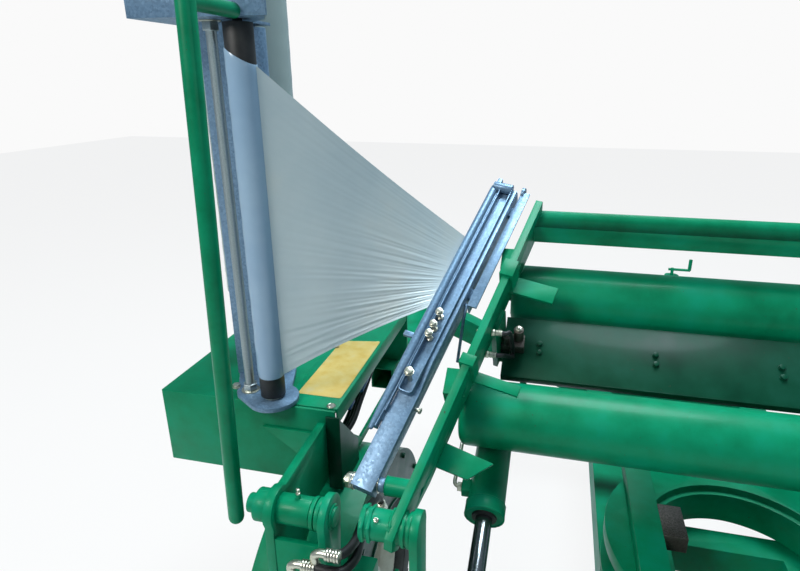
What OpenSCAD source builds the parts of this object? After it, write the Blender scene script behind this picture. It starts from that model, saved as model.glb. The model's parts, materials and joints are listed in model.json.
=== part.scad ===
// Trailed round bale wrapper: a turntable that tips to the rear, a fixed film
// dispenser on a box at its left, and two clamp arms that hold the film's end.
// Frame: origin in the tow eye, +X right, +Y forward, +Z up, millimetres.

/* [Stance] */
// Height of the tow eye above the ground
eye_h = 450; // [380:10:560]
// Outer diameter of a tyre
wheel_d = 760; // [680:10:800]
// Width of a tyre
tyre_w = 250; // [200:5:260]
// Distance between the wheels' middle planes
track = 2120; // [2100:10:2300]
// Distance of the axle behind the tow eye
axle_back = 2750; // [2700:10:2800]

/* [Chassis] */
// Side of the square frame tubes
rail = 100; // [80:5:110]
// Wall of the frame tubes
rail_wall = 6; // [4:0.5:10]
// Half the distance between the frame rails
rail_half = 300; // [280:5:340]
// Distance of the front cross tube behind the tow eye
front_back = 1500; // [1400:10:1600]
// Distance of the rear cross tube behind the tow eye
rear_back = 3000; // [2980:5:3040]
// Height of the rails' middle above the ground
rail_h = 430; // [420:5:440]
// Side of the square drawbar tube
bar = 120; // [100:5:130]

/* [Turntable] */
// Distance of the turning axis behind the tow eye
turn_back = 2600; // [2580:10:2640]
// Radius of the slewing ring
ring_r = 330; // [300:10:345]
// Height of the tipping hinge above the ground
hinge_h = 920; // [900:5:940]
// Distance of the tipping hinge behind the turning axis
hinge_back = 470; // [460:5:480]
// Angle to which the table is tipped at rest
tilt = 35; // [20:1:40]
// Diameter of the hinge pins
pin_d = 40; // [30:1:45]
// Outer diameter of the hinge tubes
boss_d = 62; // [56:1:70]

/* [Tipping table] */
// Thickness of a side plate
plate_t = 18; // [12:1:25]
// Depth of a side plate
plate_h = 98; // [85:1:110]
// Height of the plates' upper edge above the hinge
plate_top = 38; // [34:1:45]
// Half the width between the plates at the hinge
rear_half = 809; // [795:1:815]
// Angle by which each plate leans inwards to the front
taper = 13.7; // [10:0.1:15]
// Length of a side plate forward of the hinge
plate_len = 860; // [820:10:940]
// Radius of a drum
drum_r = 82; // [70:1:88]
// Distance of the drums' axes below the hinge
drum_drop = 167; // [160:1:180]
// Distance of the rear drum from the hinge
drum_a = 331; // [310:1:350]
// Distance of the front drum from the hinge
drum_b = 694; // [660:1:720]

/* [Film clamp arms] */
// Length of a clamp arm
arm_len = 890; // [800:10:940]
// Width of an arm's channel
arm_w = 50; // [40:1:60]
// Depth of an arm's channel
arm_h = 40; // [30:1:50]
// Thickness of an arm's sheet
arm_t = 4; // [3:0.5:6]

/* [Film dispenser] */
// Width of the box under the dispenser
box_w = 474; // [420:10:520]
// Length of the box
box_len = 700; // [640:10:800]
// Depth of the box
box_h = 210; // [180:5:230]
// Height of the box's top above the ground
box_top_h = 995; // [980:5:1000]
// Clear height between the base plate and the rollers' head plate
reel_h = 850; // [800:10:900]
// Height of the arm over the film roll, above the base plate
reel_top = 985; // [960:5:1040]
// Width of the film
film_w = 750; // [500:10:760]
// Diameter of the film roll
film_d = 220; // [120:10:240]
// Diameter of the black stretching roller
roller_d = 60; // [50:1:70]

/* [Hidden] */
$fn = 48;
ground = -eye_h;
axle_y = -axle_back;
turn_y = -turn_back;
hinge_y = turn_y - hinge_back;
hinge_z = ground + hinge_h;
rail_z = ground + rail_h;
rail_top = rail_z + rail/2;
axle_z = ground + wheel_d/2;
gap = 0.3;            // seats and soft neighbours
run = 6;              // clearance of what turns past what stands
fit = 0.05;           // radial clearance of a shaft in its bore
small = 0.01;

box_x = -1026;        // right face of the dispenser box
box_y = -2820;        // its rear face
box_top = ground + box_top_h;
lid_t = 4;

// where the dispenser's upright pieces stand on the box
roller_at = [-1190, -2806];
rod_at = [-1259, -2793];
post_at = [-1290, -2690];
reel_at = [-1337, -2520];
alloy_at = [-1235, -2672];
plate_z = box_top + lid_t;

// where the left clamp arm's foot pin lies: across, along the table, above the hinge
arm_foot = [889, 82, -21];
arm_skew = 14;

green = "seagreen";
zinc = "lightsteelblue";
black = "dimgray";
white = "gainsboro";

// General shapes

module tube_x(r, len, x0 = 0) translate([x0, 0, 0]) rotate([0, 90, 0]) cylinder(r = r, h = len);
module tube_y(r, len, y0 = 0) translate([0, y0 + len, 0]) rotate([90, 0, 0]) cylinder(r = r, h = len);

// a square tube with open ends, along +Y from the origin, its axis in the middle
module square_tube_y(side, wall, len) difference() {
  translate([-side/2, 0, -side/2]) cube([side, len, side]);
  translate([-side/2 + wall, -1, -side/2 + wall]) cube([side - 2*wall, len + 2, side - 2*wall]);
}
module square_tube_x(side, wall, len) rotate([0, 0, -90]) square_tube_y(side, wall, len);

// a plate cut from an outline in the Y-Z plane, its near face at x
module side_outline(x, t, points) translate([x, 0, 0])
  rotate([90, 0, 90]) linear_extrude(t) polygon(points);

// a round bar between two points
module bar_between(a, b, r) {
  d = b - a;
  len = norm(d);
  translate(a) rotate([0, acos(d[2]/len), atan2(d[1], d[0])]) cylinder(r = r, h = len);
}

// puts a piece of the tipping table in its place; y runs along the table
module on_table() translate([0, hinge_y, hinge_z]) rotate([tilt, 0, 0]) children();

// Chassis

module tow_eye() color(zinc) {
  difference() {
    union() {
      translate([0, 0, -16]) cylinder(r = 50, h = 32);
      translate([0, -120, 0]) tube_y(22, 80);
      translate([-24, -100, -16]) cube([48, 62, 32]);
    }
    translate([0, 0, -30]) cylinder(r = 25, h = 60);
  }
  translate([-bar/2, -132, -bar/2]) cube([bar, 12, bar]);
}

drawbar_front = -132;
drawbar_rear = -front_back + rail/2;
bar_wall = 8;

// the drawbar's side: level at the eye, then falling to the frame
function bar_side(inset, front) = [
  [front, bar/2 - inset], [front, -bar/2 + inset], [drawbar_front - 300, -bar/2 + inset],
  [drawbar_rear + inset, rail_z - rail/2 + inset], [drawbar_rear + inset, rail_z + rail/2 - inset],
  [drawbar_front - 300, bar/2 - inset]];
module drawbar() color(green) {
  difference() {
    side_outline(-bar/2, bar, bar_side(0, drawbar_front));
    side_outline(-bar/2 + bar_wall, bar - 2*bar_wall, bar_side(bar_wall, drawbar_front + 1));
  }
  for (side = [0, 1]) mirror([side, 0, 0]) translate([bar/2, drawbar_rear, rail_z - 8])
    linear_extrude(16) polygon([[0, 0], [0, 420], [200, 0]]);
}

box_arm = 80;         // side of the tubes that carry the box
box_arm_x = -1100;
post_x = -920;
post_top = 300;
module main_frame() color(green) {
  len = rear_back - front_back;
  rail_out = rail_half + rail/2;
  arm_z = box_top - box_h - box_arm/2;
  for (side = [-1, 1]) translate([side*rail_half, -rear_back + rail/2, rail_z])
    square_tube_y(rail, rail_wall, len - rail);
  translate([-rail_out, -front_back, rail_z]) square_tube_x(rail, rail_wall, 2*rail_out);
  translate([post_x, -rear_back, rail_z]) square_tube_x(rail, rail_wall, -2*post_x);
  // a raised arm at the left front carries the box
  hull() {
    translate([box_arm_x - box_arm/2, -front_back - box_arm/2, arm_z - box_arm/2]) cube(box_arm);
    translate([-rail_out - 12, -front_back - box_arm/2, rail_z - rail/2]) cube([12, box_arm, rail]);
  }
  translate([box_arm_x, box_y + box_len - box_arm, arm_z])
    square_tube_y(box_arm, 5, box_arm - front_back - box_y - box_len - box_arm/2 + small);
  // posts at the rear carry the lug and the mudguards
  translate([post_x, -rear_back - 100, rail_z - rail/2]) cube([50, 110, post_top - rail_z + rail/2]);
  translate([-post_x - 50, -rear_back - 100, rail_z - rail/2]) cube([50, 110, 180 - rail_z + rail/2]);
  translate([lug_x[1] + lug_t_in, -rear_back - 100, post_top - 80])
    cube([post_x - lug_x[1] - lug_t_in + small, 60, 80]);
  // sleepers under the pedestal
  for (side = [-1, 1]) translate([side*180 - 30, turn_y - 200, rail_z - rail/2]) cube([60, 400, rail]);
  for (y = [turn_y - 200, turn_y + 120]) translate([-rail_half + rail/2, y, rail_z - rail/2])
    cube([2*rail_half - rail, 80, rail]);
}

axle_half = track/2 - tyre_w/2 - 20;
beam = 80;            // side of the cranked axle's middle, below the rails
module axle_beam() color(green) {
  top = rail_z - rail/2 - gap;
  translate([-axle_half, axle_y - beam/2, top - beam]) cube([2*axle_half, beam, beam]);
  for (side = [0, 1]) mirror([side, 0, 0]) {
    translate([axle_half - 12, axle_y - beam/2 - 5, top - beam - 5])
      cube([12, beam + 10, axle_z + 45 - top + beam + 5]);
    translate([0, axle_y, axle_z]) tube_x(25 - fit, track/2 + 60 - axle_half, axle_half - small);
  }
}

module pedestal() color(green) translate([0, turn_y, rail_top]) {
  difference() {
    union() {
      cylinder(r = ring_r + 20, h = 14);
      cylinder(r = ring_r - 60, h = 74);
      translate([0, 0, 60]) cylinder(r = ring_r, h = 30);
      for (k = [0:7]) rotate([0, 0, 45*k]) translate([ring_r - 70, -6, 0]) cube([60, 12, 62]);
    }
    translate([0, 0, -1]) cylinder(r = ring_r - 80, h = 120);
  }
}

// Mudguards: an arched sheet over each tyre, with a plate down to the post
guard_in = -950;      // its edges, at the left
guard_far = -1170;
arch_r = wheel_d/2 + 14;
arch_t = 3;
module mudguard(side) color(green) mirror([side > 0 ? 1 : 0, 0, 0]) {
  translate([guard_far, axle_y, axle_z]) rotate([0, 90, 0]) difference() {
    cylinder(r = arch_r + arch_t, h = guard_in - guard_far, $fn = 96);
    translate([0, 0, -1]) cylinder(r = arch_r, h = guard_in - guard_far + 2, $fn = 96);
    // it is open below, to the same height at the rear as at the front
    translate([-100, -wheel_d, -2]) cube([wheel_d + 100, 2*wheel_d, guard_in - guard_far + 4]);
  }
  // stay to the post, cut round the tyre's clearance
  difference() {
    translate([guard_in - 40, -rear_back - 100, 120]) cube([post_x - guard_in + 40 - gap, 60, 60]);
    translate([0, axle_y, axle_z]) tube_x(arch_r, 120, guard_in - 60);
  }
}

// Upright at the left front, on the arm that carries the box
stay_at = [-1104, -1570];
stay_top = 690;
module front_stay() color(green) translate([stay_at[0], stay_at[1], box_top - box_h]) {
  h = stay_top - box_top + box_h;
  cube([60, 60, h]);
  translate([0, 30, h - 20]) tube_x(34, 100, 0);
  translate([50, 5, h - 90]) cube([170, 50, 45]);
}

// Dispenser box with its lid, lug and shield

module dispenser_box() color(green) translate([box_x - box_w, box_y, box_top - box_h]) difference() {
  cube([box_w, box_len, box_h]);
  translate([8, 8, -1]) cube([box_w, box_len - 16, box_h - 7]);
}

lid_w = 140;
module box_lid() color("khaki") {
  translate([box_x - lid_w, box_y + 8, box_top]) cube([lid_w + lid_t, box_len - 40, lid_t]);
  translate([box_x + gap, box_y + 8, box_top - 40]) cube([lid_t, box_len - 40, 40 + lid_t]);
}

// the clevis on the box's rear face: a long ear seen edge on, a round one, and the plate between
lug_x = [-1068, -952];
lug_t = 20;
lug_t_in = 16;
lug_eye = 46;
lug_foot = 230;
lug_back = 3110;
function eye_arc(r, from, to) = [for (a = [from:20:to]) [hinge_y + r*cos(a), hinge_z + r*sin(a)]];
module hinge_lug() color(green) difference() {
  union() {
    side_outline(lug_x[0], lug_t, concat(
      [[box_y, box_top - 30], [box_y - 12, box_top - 30]], eye_arc(lug_eye, 50, 210),
      [[hinge_y - 45, hinge_z - lug_foot], [hinge_y + 20, hinge_z - lug_foot],
       [box_y - 60, box_top - box_h + 20], [box_y, box_top - box_h + 20]]));
    side_outline(lug_x[1], lug_t_in, concat(eye_arc(lug_eye, -20, 200),
      [[hinge_y - 45, hinge_z - lug_foot], [hinge_y + 20, hinge_z - lug_foot]]));
    translate([lug_x[0] + lug_t - small, -lug_back, hinge_z - lug_foot])
      cube([lug_x[1] - lug_x[0] - lug_t + 2*small, 12, lug_foot - lug_eye]);
    // the flat stiffener left of the ear
    translate([lug_x[0] - 150, box_y, box_top - 62]) rotate([90, 0, 0])
      linear_extrude(8) polygon([[0, 0], [150 + small, 0], [150 + small, -110]]);
  }
  translate([0, hinge_y, hinge_z]) tube_x(pin_d/2, lug_x[1] - lug_x[0] + 60, lug_x[0] - 20);
}

// the bent shield between the long ear and the box's open side
shield_right = -1012;
module bent_shield() color(green) {
  from = lug_x[0] + lug_t + gap;
  low = box_top - box_h - 8;
  translate([from, box_y - 6 - gap, low]) cube([shield_right - from, 6, box_top - 12 - low]);
  side_outline(shield_right - 6, 6, [
    [box_y - 6 - gap, box_top - 12], [box_y - 6 - gap, low], [box_y + 120, low], [box_y + 120, box_top - 150]]);
}

module lug_boss() color(green) translate([0, hinge_y, hinge_z]) {
  from = lug_x[0] + lug_t;
  len = lug_x[1] - from - gap;
  difference() {
    union() {
      tube_x(boss_d/2, len - 26, from + gap);
      tube_x(boss_d/2 - 4, len - 2*gap, from + gap);
      for (k = [0:1]) tube_x(boss_d/2 + 3, 8, from + len - 23 + 11*k);
      translate([from + 40, 0, boss_d/2 - 4]) cylinder(r = 5, h = 14);
    }
    tube_x(pin_d/2, len + 20, from - 10);
  }
}

// the pin through the clevis, with its collar outside the long ear
module lug_pin() color(green) translate([0, hinge_y, hinge_z]) {
  tube_x(pin_d/2 - fit, lug_x[1] + lug_t_in - lug_x[0] + 58, lug_x[0] - 50);
  tube_x(pin_d/2 + 14, 30, lug_x[0] - 30 - gap);
}

// the bent edge plate at the foot of the box's open side
module box_gusset() color(green) side_outline(box_x - 8, 8, [
  [box_y + 8.3, box_top - 46], [box_y + 178, box_top - 186], [box_y + box_len - 9, box_top - 186],
  [box_y + box_len - 9, box_top - box_h], [box_y + 8.3, box_top - box_h]]);

// Film dispenser

module reel_base() color(zinc) translate([0, 0, plate_z]) difference() {
  union() {
    hull() {
      translate(roller_at) cylinder(r = 62, h = 12);
      translate(rod_at) cylinder(r = 34, h = 12);
    }
    hull() {
      translate(rod_at) cylinder(r = 30, h = 12);
      translate(reel_at) cylinder(r = 90, h = 12);
    }
    hull() {
      translate(roller_at) cylinder(r = 40, h = 12);
      translate(alloy_at) cylinder(r = 40, h = 12);
    }
  }
  for (p = [roller_at, alloy_at, reel_at]) translate(p) translate([0, 0, -1]) cylinder(r = 10, h = 20);
}

// edges of the head plate over the rollers
end_y = roller_at[1] - 54;
head_left = post_at[0] - 110;
head_right = roller_at[0] + 90;
head_front = alloy_at[1] + 36;
head_rim = 46;
module reel_post() color(zinc) {
  translate([post_at[0], post_at[1], plate_z + 12]) difference() {
    translate([-45, -30, 0]) cube([62, 60, reel_top + small]);
    translate([-41, -26, -1]) cube([54, 60, reel_top + 1]);
  }
  // head plate over the rollers, with a folded rim
  translate([0, 0, plate_z + 12 + reel_h]) difference() {
    union() {
      linear_extrude(6) polygon([[head_left, end_y], [head_right, end_y],
        [head_right - 45, roller_at[1] + 26], [alloy_at[0] + 30, alloy_at[1] - 48],
        [alloy_at[0] + 30, head_front], [head_left, head_front]]);
      translate([head_left, end_y, 0]) cube([head_right - head_left, 5, head_rim]);
      translate([head_left, end_y, 0]) cube([5, head_front - end_y, head_rim]);
    }
    for (p = [roller_at, alloy_at]) translate(p) translate([0, 0, -1]) cylinder(r = 10, h = 20);
  }
  // arm over the film roll
  translate([-1382, post_at[1] - 30, plate_z + 12 + reel_top]) difference() {
    union() {
      cube([90, 262, 8]);
      for (x = [0, 85]) translate([x, 0, -24]) cube([5, 262, 24 + small]);
    }
    translate([reel_at[0] + 1382, reel_at[1] - post_at[1] + 30, -1]) cylinder(r = 10, h = 20);
  }
}

module reel_tie_rod() color(zinc) {
  translate([rod_at[0], rod_at[1], plate_z + 12]) {
    cylinder(r = 11, h = reel_h);
    cylinder(r = 18, h = 20, $fn = 6);
    translate([0, 0, reel_h - 20]) cylinder(r = 18, h = 20, $fn = 6);
  }
}

// a roller between the two end plates, with its journals
module upright_roller(at, r, low, high) translate([at[0], at[1], plate_z + 12]) {
  translate([0, 0, low]) cylinder(r = r, h = high - low);
  translate([0, 0, -12]) cylinder(r = 9.95, h = reel_h + 18);
}
module stretch_roller() color(black) upright_roller(roller_at, roller_d/2, 6, reel_h - 6);
module alloy_roller() color(zinc) upright_roller(alloy_at, 32, 6, reel_h - 6);
roll_low = 175;       // the roll's lower end above the base plate
module film_roll() color(white) translate([reel_at[0], reel_at[1], plate_z + 12]) {
  translate([0, 0, roll_low]) cylinder(r = film_d/2, h = film_w);
  translate([0, 0, roll_low - 16]) cylinder(r = 42, h = film_w + 32);
  // hub, and the spindle through it
  translate([0, 0, 6]) cylinder(r = 28, h = roll_low);
  translate([0, 0, -12]) cylinder(r = 9.95, h = reel_top + 20);
}

// the film: a thin ruled skin from the black roller's side to the jaw of the left arm
web_t = 1.5;
web_cols = 8;
web_low = plate_z + 75;
web_h = 740;
web_on_jaw = [430, 670];
function on_arm(p) = let(
    x = p[0]*cos(arm_skew) + p[1]*sin(arm_skew) - arm_foot[0],
    a = p[1]*cos(arm_skew) - p[0]*sin(arm_skew) + arm_foot[1],
    n = p[2] + arm_foot[2])
  [x, hinge_y + a*cos(tilt) - n*sin(tilt), hinge_z + a*sin(tilt) + n*cos(tilt)];
web_side = [0.3, -0.9, 0.3]*web_t/2;
function web_point(i, j, k) = let(
    x = roller_at[0] + roller_d/2 + 2,
    start = [x, roller_at[1], web_low + j*web_h],
    end = on_arm([-arm_w/2 - 10, web_on_jaw[j], arm_h/2 + 14]))
  start + (end - start)*i/web_cols + web_side*(2*k - 1);
function web_at(i, j, k) = 4*i + 2*j + k;
// a quad as two triangles
function web_quad(a, b, c, d) = [[a, b, c], [a, c, d]];
module film_web() color(white) polyhedron(
  [for (i = [0:web_cols]) for (j = [0, 1]) for (k = [0, 1]) web_point(i, j, k)],
  concat(
    web_quad(web_at(0, 0, 0), web_at(0, 0, 1), web_at(0, 1, 1), web_at(0, 1, 0)),
    web_quad(web_at(web_cols, 0, 0), web_at(web_cols, 1, 0), web_at(web_cols, 1, 1), web_at(web_cols, 0, 1)),
    [for (i = [0:web_cols - 1]) each concat(
      web_quad(web_at(i, 0, 0), web_at(i, 1, 0), web_at(i + 1, 1, 0), web_at(i + 1, 0, 0)),
      web_quad(web_at(i, 0, 1), web_at(i + 1, 0, 1), web_at(i + 1, 1, 1), web_at(i, 1, 1)),
      web_quad(web_at(i, 0, 0), web_at(i + 1, 0, 0), web_at(i + 1, 0, 1), web_at(i, 0, 1)),
      web_quad(web_at(i, 1, 0), web_at(i, 1, 1), web_at(i + 1, 1, 1), web_at(i + 1, 1, 0)))]));

guard_r = 17;
guard_out = 150;      // how far its upper end stands behind the head plate
guard_down = 155;     // how far its lower end hangs below the box's top
module guard_bar() color(green) {
  low = [roller_at[0] + 10, end_y - guard_out - 25, box_top - guard_down];
  high = [roller_at[0] + 25, end_y - guard_out, plate_z + 12 + reel_h + head_rim - 7];
  bar_between(low, high, guard_r);
  translate(low) sphere(r = guard_r - 0.5);
  translate([high[0], high[1] - 10, high[2] - 30]) tube_y(guard_r - 3, end_y - high[1] + 10);
}

// two short hoses with crimped ends, below the clevis
hose_at = [[-1000, -3140, 404], [-950, -3136, 438]];
hose_seat = [-lug_back - gap, hinge_y - 44.1];
module hose_pair() color(black) for (k = [0, 1]) translate(hose_at[k]) {
  tube_x(11, -876 - hose_at[k][0]);
  translate([0, 0, -44]) cylinder(r = 9, h = 44 + 9);
  translate([0, 0, -44]) tube_y(8, hose_seat[k] - hose_at[k][1]);
}

jack_y = -700;
jack_r = 32;
module jack_tube() color(green) translate([bar/2 + jack_r + 10, jack_y, 0]) {
  difference() {
    union() {
      translate([0, 0, -150]) cylinder(r = jack_r, h = 420);
      translate([gap - 10 - jack_r, -35, -50]) cube([16 + jack_r, 70, 100]);
    }
    translate([0, 0, -160]) cylinder(r = jack_r - 5, h = 425);
  }
  translate([0, 0, 270]) cylinder(r = jack_r + 4, h = 14);
  translate([0, 0, 284]) cylinder(r = 8, h = 40);
  translate([0, 0, 316]) tube_x(7, 110, -20);
  translate([86, 0, 316]) cylinder(r = 9, h = 60);
}
module jack_leg() color(zinc) translate([bar/2 + jack_r + 10, jack_y, 0]) {
  translate([0, 0, ground + 10]) cylinder(r = jack_r - 5 - fit, h = -ground - 20);
  translate([0, 0, ground]) cylinder(r = 80, h = 10);
}

// Wheels

wheel_r = wheel_d/2;
module tyre(side) color(black) translate([side*track/2, axle_y, axle_z]) rotate([0, 90, 0]) difference() {
  w = tyre_w/2;
  union() {
    rotate_extrude($fn = 72) polygon([
      [205.3, -96], [230, -w + 7], [300, -w], [wheel_r - 35, -w + 7], [wheel_r - 12, -w + 20],
      [wheel_r - 12, w - 20], [wheel_r - 35, w - 7], [300, w], [230, w - 7], [205.3, 96]]);
    // ribs round the tread
    for (k = [-2:2]) translate([0, 0, 43*k - 14]) cylinder(r = wheel_r, h = 28, $fn = 72);
  }
  rotate_extrude($fn = 72) polygon([
    [0, -w - 1], [205.3, -w - 1], [205.3, -80], [250, -w + 20], [wheel_r - 50, -w + 26],
    [wheel_r - 32, -w + 40], [wheel_r - 32, w - 40], [wheel_r - 50, w - 26], [250, w - 20], [205.3, 80],
    [205.3, w + 1], [0, w + 1]]);
}
module rim(side) color(white) translate([side*track/2, axle_y, axle_z]) mirror([side < 0 ? 1 : 0, 0, 0])
  rotate([0, 90, 0]) difference() {
    union() {
      rotate_extrude($fn = 72) polygon([
        [196, -100], [205, -100], [205, -92], [196, -84], [180, -60], [180, 60], [196, 84], [205, 92],
        [205, 100], [196, 100], [172, 62], [172, 20], [120, 34], [90, 20], [60, 20], [60, 62],
        [34, 66], [34, -96], [60, -96], [60, 10], [90, 10], [120, 24], [172, 8], [172, -62]]);
      translate([0, 0, 60]) cylinder(r = 34, h = 16);
    }
    translate([0, 0, -110]) cylinder(r = 25, h = 171);
    for (k = [0:5]) rotate([0, 0, 60*k]) translate([145, 0, 0]) cylinder(r = 12, h = 60);
  }

// Turntable

ring_z = rail_top + 90 + gap;
module slew_ring() color(green) translate([0, turn_y, ring_z]) {
  difference() {
    cylinder(r = ring_r + 20, h = 40);
    translate([0, 0, -1]) cylinder(r = ring_r - 90, h = 60);
  }
  translate([0, 0, -70]) difference() {
    cylinder(r = ring_r - 80 - run, h = 90);
    translate([0, 0, -1]) cylinder(r = ring_r - 100 - run, h = 100);
  }
}

turn_rail_z = ring_z + 40;
turn_rail_h = 45;
ear_x = 752;
ear_t = 16;
beam_z = 80;
beam_h = 65;
beam_y = turn_y - 500;
beam_w = 70;
turn_rail_x = 250;    // the two rails on the slewing ring
turn_rail_len = 900;
fork_gap = 26;        // from the rod's middle to a fork plate
fork_t = 8;
module turn_frame() color(green) {
  foot = [hinge_y + cyl_foot[0], hinge_z + cyl_foot[1]];
  for (side = [-1, 1]) {
    translate([side*turn_rail_x - beam_w/2, beam_y, turn_rail_z])
      cube([beam_w, turn_rail_len, turn_rail_h]);
    translate([side*turn_rail_x - beam_w/2, beam_y, beam_z])
      cube([beam_w, beam_w, turn_rail_z - beam_z + small]);
    // forks for the rods' eyes
    for (d = [-1, 1]) {
      side_outline(side*cyl_x + d*(fork_gap + fork_t/2) - fork_t/2, fork_t, concat(
        [[beam_y + small, beam_z], [beam_y + small, beam_z + beam_h]],
        [for (a = [60:20:240]) foot + 25*[cos(a), sin(a)]]));
      translate([0, foot[0], foot[1]])
        tube_x(14, 5 + small, side*cyl_x + d*(fork_gap + fork_t) - (d < 0 ? 5 : small));
    }
  }
  translate([-600, turn_y + 330, turn_rail_z]) cube([1200, 70, turn_rail_h]);
  translate([-ear_x - small, beam_y, beam_z]) cube([2*ear_x + 2*small, beam_w, beam_h]);
  // ears with the hinge pins
  for (side = [0, 1]) mirror([side, 0, 0]) {
    side_outline(ear_x, ear_t, concat([[beam_y, beam_z], [beam_y + beam_w, beam_z]],
      [for (a = [-20:20:200]) [hinge_y + 42*cos(a), hinge_z + 42*sin(a)]]));
    translate([0, hinge_y, hinge_z]) tube_x(pin_d/2 - fit, 110, ear_x);
  }
}

module oil_manifold() color(black) translate([-215, turn_y - 60, turn_rail_z]) cube([60, 120, turn_rail_h]);

// Tipping table

module side_plate_shape() {
  lean = [0, 0, -taper];
  translate([-rear_half, 0, 0]) rotate(lean) {
    side_outline(0, plate_t, [
      [20, plate_top], [plate_len/cos(taper), plate_top], [plate_len/cos(taper), plate_top - 60],
      [plate_len/cos(taper) - 60, plate_top - plate_h], [120, plate_top - plate_h],
      [40, -40], [-30, -36], [-44, 0], [-30, 30]]);
  }
}
module side_plate(side) color(green) on_table() mirror([side > 0 ? 1 : 0, 0, 0]) difference() {
  union() {
    side_plate_shape();
    // hinge tube on the outer side
    tube_x(boss_d/2, 75, -866);
    tube_x(boss_d/2 + 3, 10, -872);
    // and on the inner side, with two rings
    tube_x(boss_d/2, rear_half - ear_x - ear_t - 3, small - rear_half);
    for (k = [0:1]) tube_x(boss_d/2 + 4, 6, 4 + 11*k - rear_half + plate_t);
    // folded straps over the plate, each with a flat inwards above a drum
    for (strap = [[drum_a + 34, 26, -38], [drum_b - 66, 48, -30]]) {
      translate([-rear_half, 0, 0]) rotate([0, 0, -taper]) translate([0, strap[0]/cos(taper) - strap[1]/2, 0]) {
        translate([-8, 0, -62]) cube([8 + small, strap[1], plate_top + 62]);
        translate([-8, 0, plate_top - small]) cube([plate_t + 16, strap[1], 7]);
        translate([plate_t - small, 0, strap[2]]) cube([110, strap[1], 8]);
        translate([plate_t - small, 0, strap[2]]) cube([8, strap[1], plate_top - strap[2] + 7]);
      }
    }
    // hangers for the drum shafts
    for (d = [drum_a, drum_b]) {
      x = -rear_half + d*tan(taper);
      translate([x - 34, d - 32, -drum_drop - 30]) cube([12, 64, drum_drop + 10]);
      translate([x - 34, d - 32, -20]) cube([50, 64, 12]);
      translate([0, d, -drum_drop]) tube_x(34, 12, x - 34);
    }
    // tube for the clamp arm's foot pin
    translate([0, arm_foot[1], arm_foot[2]]) tube_x(20, 66, -845);
  }
  tube_x(pin_d/2, 200, -900);
  for (d = [drum_a, drum_b]) translate([0, d, -drum_drop]) tube_x(20.05, 80, -rear_half + d*tan(taper) - 50);
  translate([0, arm_foot[1], arm_foot[2]]) tube_x(10, 120, -880);
}

// half the clear width between the plates, at a distance along the table
function inner_half(a) = rear_half - a*tan(taper) - plate_t/cos(taper) - fit;
front_tube = 60;
mid_a = 512;
mid_n = -165;
eye_a = 453;
eye_n = -345;
module table_cross() color(green) on_table() {
  intersection() {
    union() {
      translate([-rear_half, plate_len - 40, -20]) square_tube_x(front_tube, 5, 2*rear_half);
      translate([-rear_half, mid_a - 25, mid_n - 20]) cube([2*rear_half, 50, 40]);
    }
    translate([0, 0, mid_n - 30]) linear_extrude(400)
      polygon([[-inner_half(0), 0], [inner_half(0), 0], [inner_half(plate_len), plate_len],
        [-inner_half(plate_len), plate_len]]);
  }
  for (side = [0, 1]) mirror([side, 0, 0]) {
    // hanger from the side plate to the middle bar
    translate([-rear_half, 0, 0]) rotate([0, 0, -taper])
      translate([plate_t + fit, mid_a/cos(taper) - 35, mid_n - 20]) cube([12, 70, -mid_n]);
    // plate and pin for the cylinder's eye
    side_outline(-cyl_x + 51, 16, concat([[mid_a + 25, mid_n - 20 + small], [mid_a - 25, mid_n - 20 + small]],
      [for (a = [140:20:320]) [eye_a + 32*cos(a), eye_n + 32*sin(a)]]));
    translate([0, eye_a, eye_n]) tube_x(15 - fit, 70, -cyl_x - 18);
    translate([0, eye_a, eye_n]) tube_x(22, 6, -cyl_x - 24);
  }
}

drum_edge = 22;
function drum_side(half, inset) = concat([[0, -half + inset]],
  [for (a = [0:15:90]) [drum_r - drum_edge, drum_edge - half] + (drum_edge - inset)*[sin(a), -cos(a)]],
  [for (a = [90:15:180]) [drum_r - drum_edge, half - drum_edge] + (drum_edge - inset)*[sin(a), -cos(a)]],
  [[0, half - inset]]);
module drum(half, at) color(green) on_table() translate([0, at, -drum_drop]) {
  difference() {
    rotate([0, 90, 0]) rotate_extrude($fn = 64) polygon(drum_side(half, 0));
    rotate([0, 90, 0]) rotate_extrude($fn = 64) polygon(drum_side(half, 6));
    for (k = [0:2]) rotate([120*k, 0, 0]) translate([0, 0, 44]) tube_x(13, 2*half + 20, -half - 10);
  }
  tube_x(20, 2*half + 60, -half - 30);
}
function drum_half(at) = rear_half - at*tan(taper) + 16 - run - 4;

// Clamp arms: a folded channel with a jaw bar and an angle bar on it

module arm_place(side) on_table() mirror([side > 0 ? 1 : 0, 0, 0])
  translate([-arm_foot[0], arm_foot[1], arm_foot[2]]) rotate([0, 0, -arm_skew]) children();

module clamp_arm(side) color(zinc) arm_place(side) {
  difference() {
    translate([-arm_w/2, -18, -arm_h/2]) cube([arm_w, arm_len, arm_h]);
    translate([-arm_w/2 + arm_t, 60, -arm_h/2 - 1]) cube([arm_w - 2*arm_t, arm_len, arm_h - arm_t + 1]);
  }
  // foot pin, with its head outside
  rotate([0, 0, arm_skew]) {
    tube_x(10 - fit, 115, 0);
    tube_x(15, 12, 28);
    tube_x(16, 30, -33);
  }
}
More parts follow.
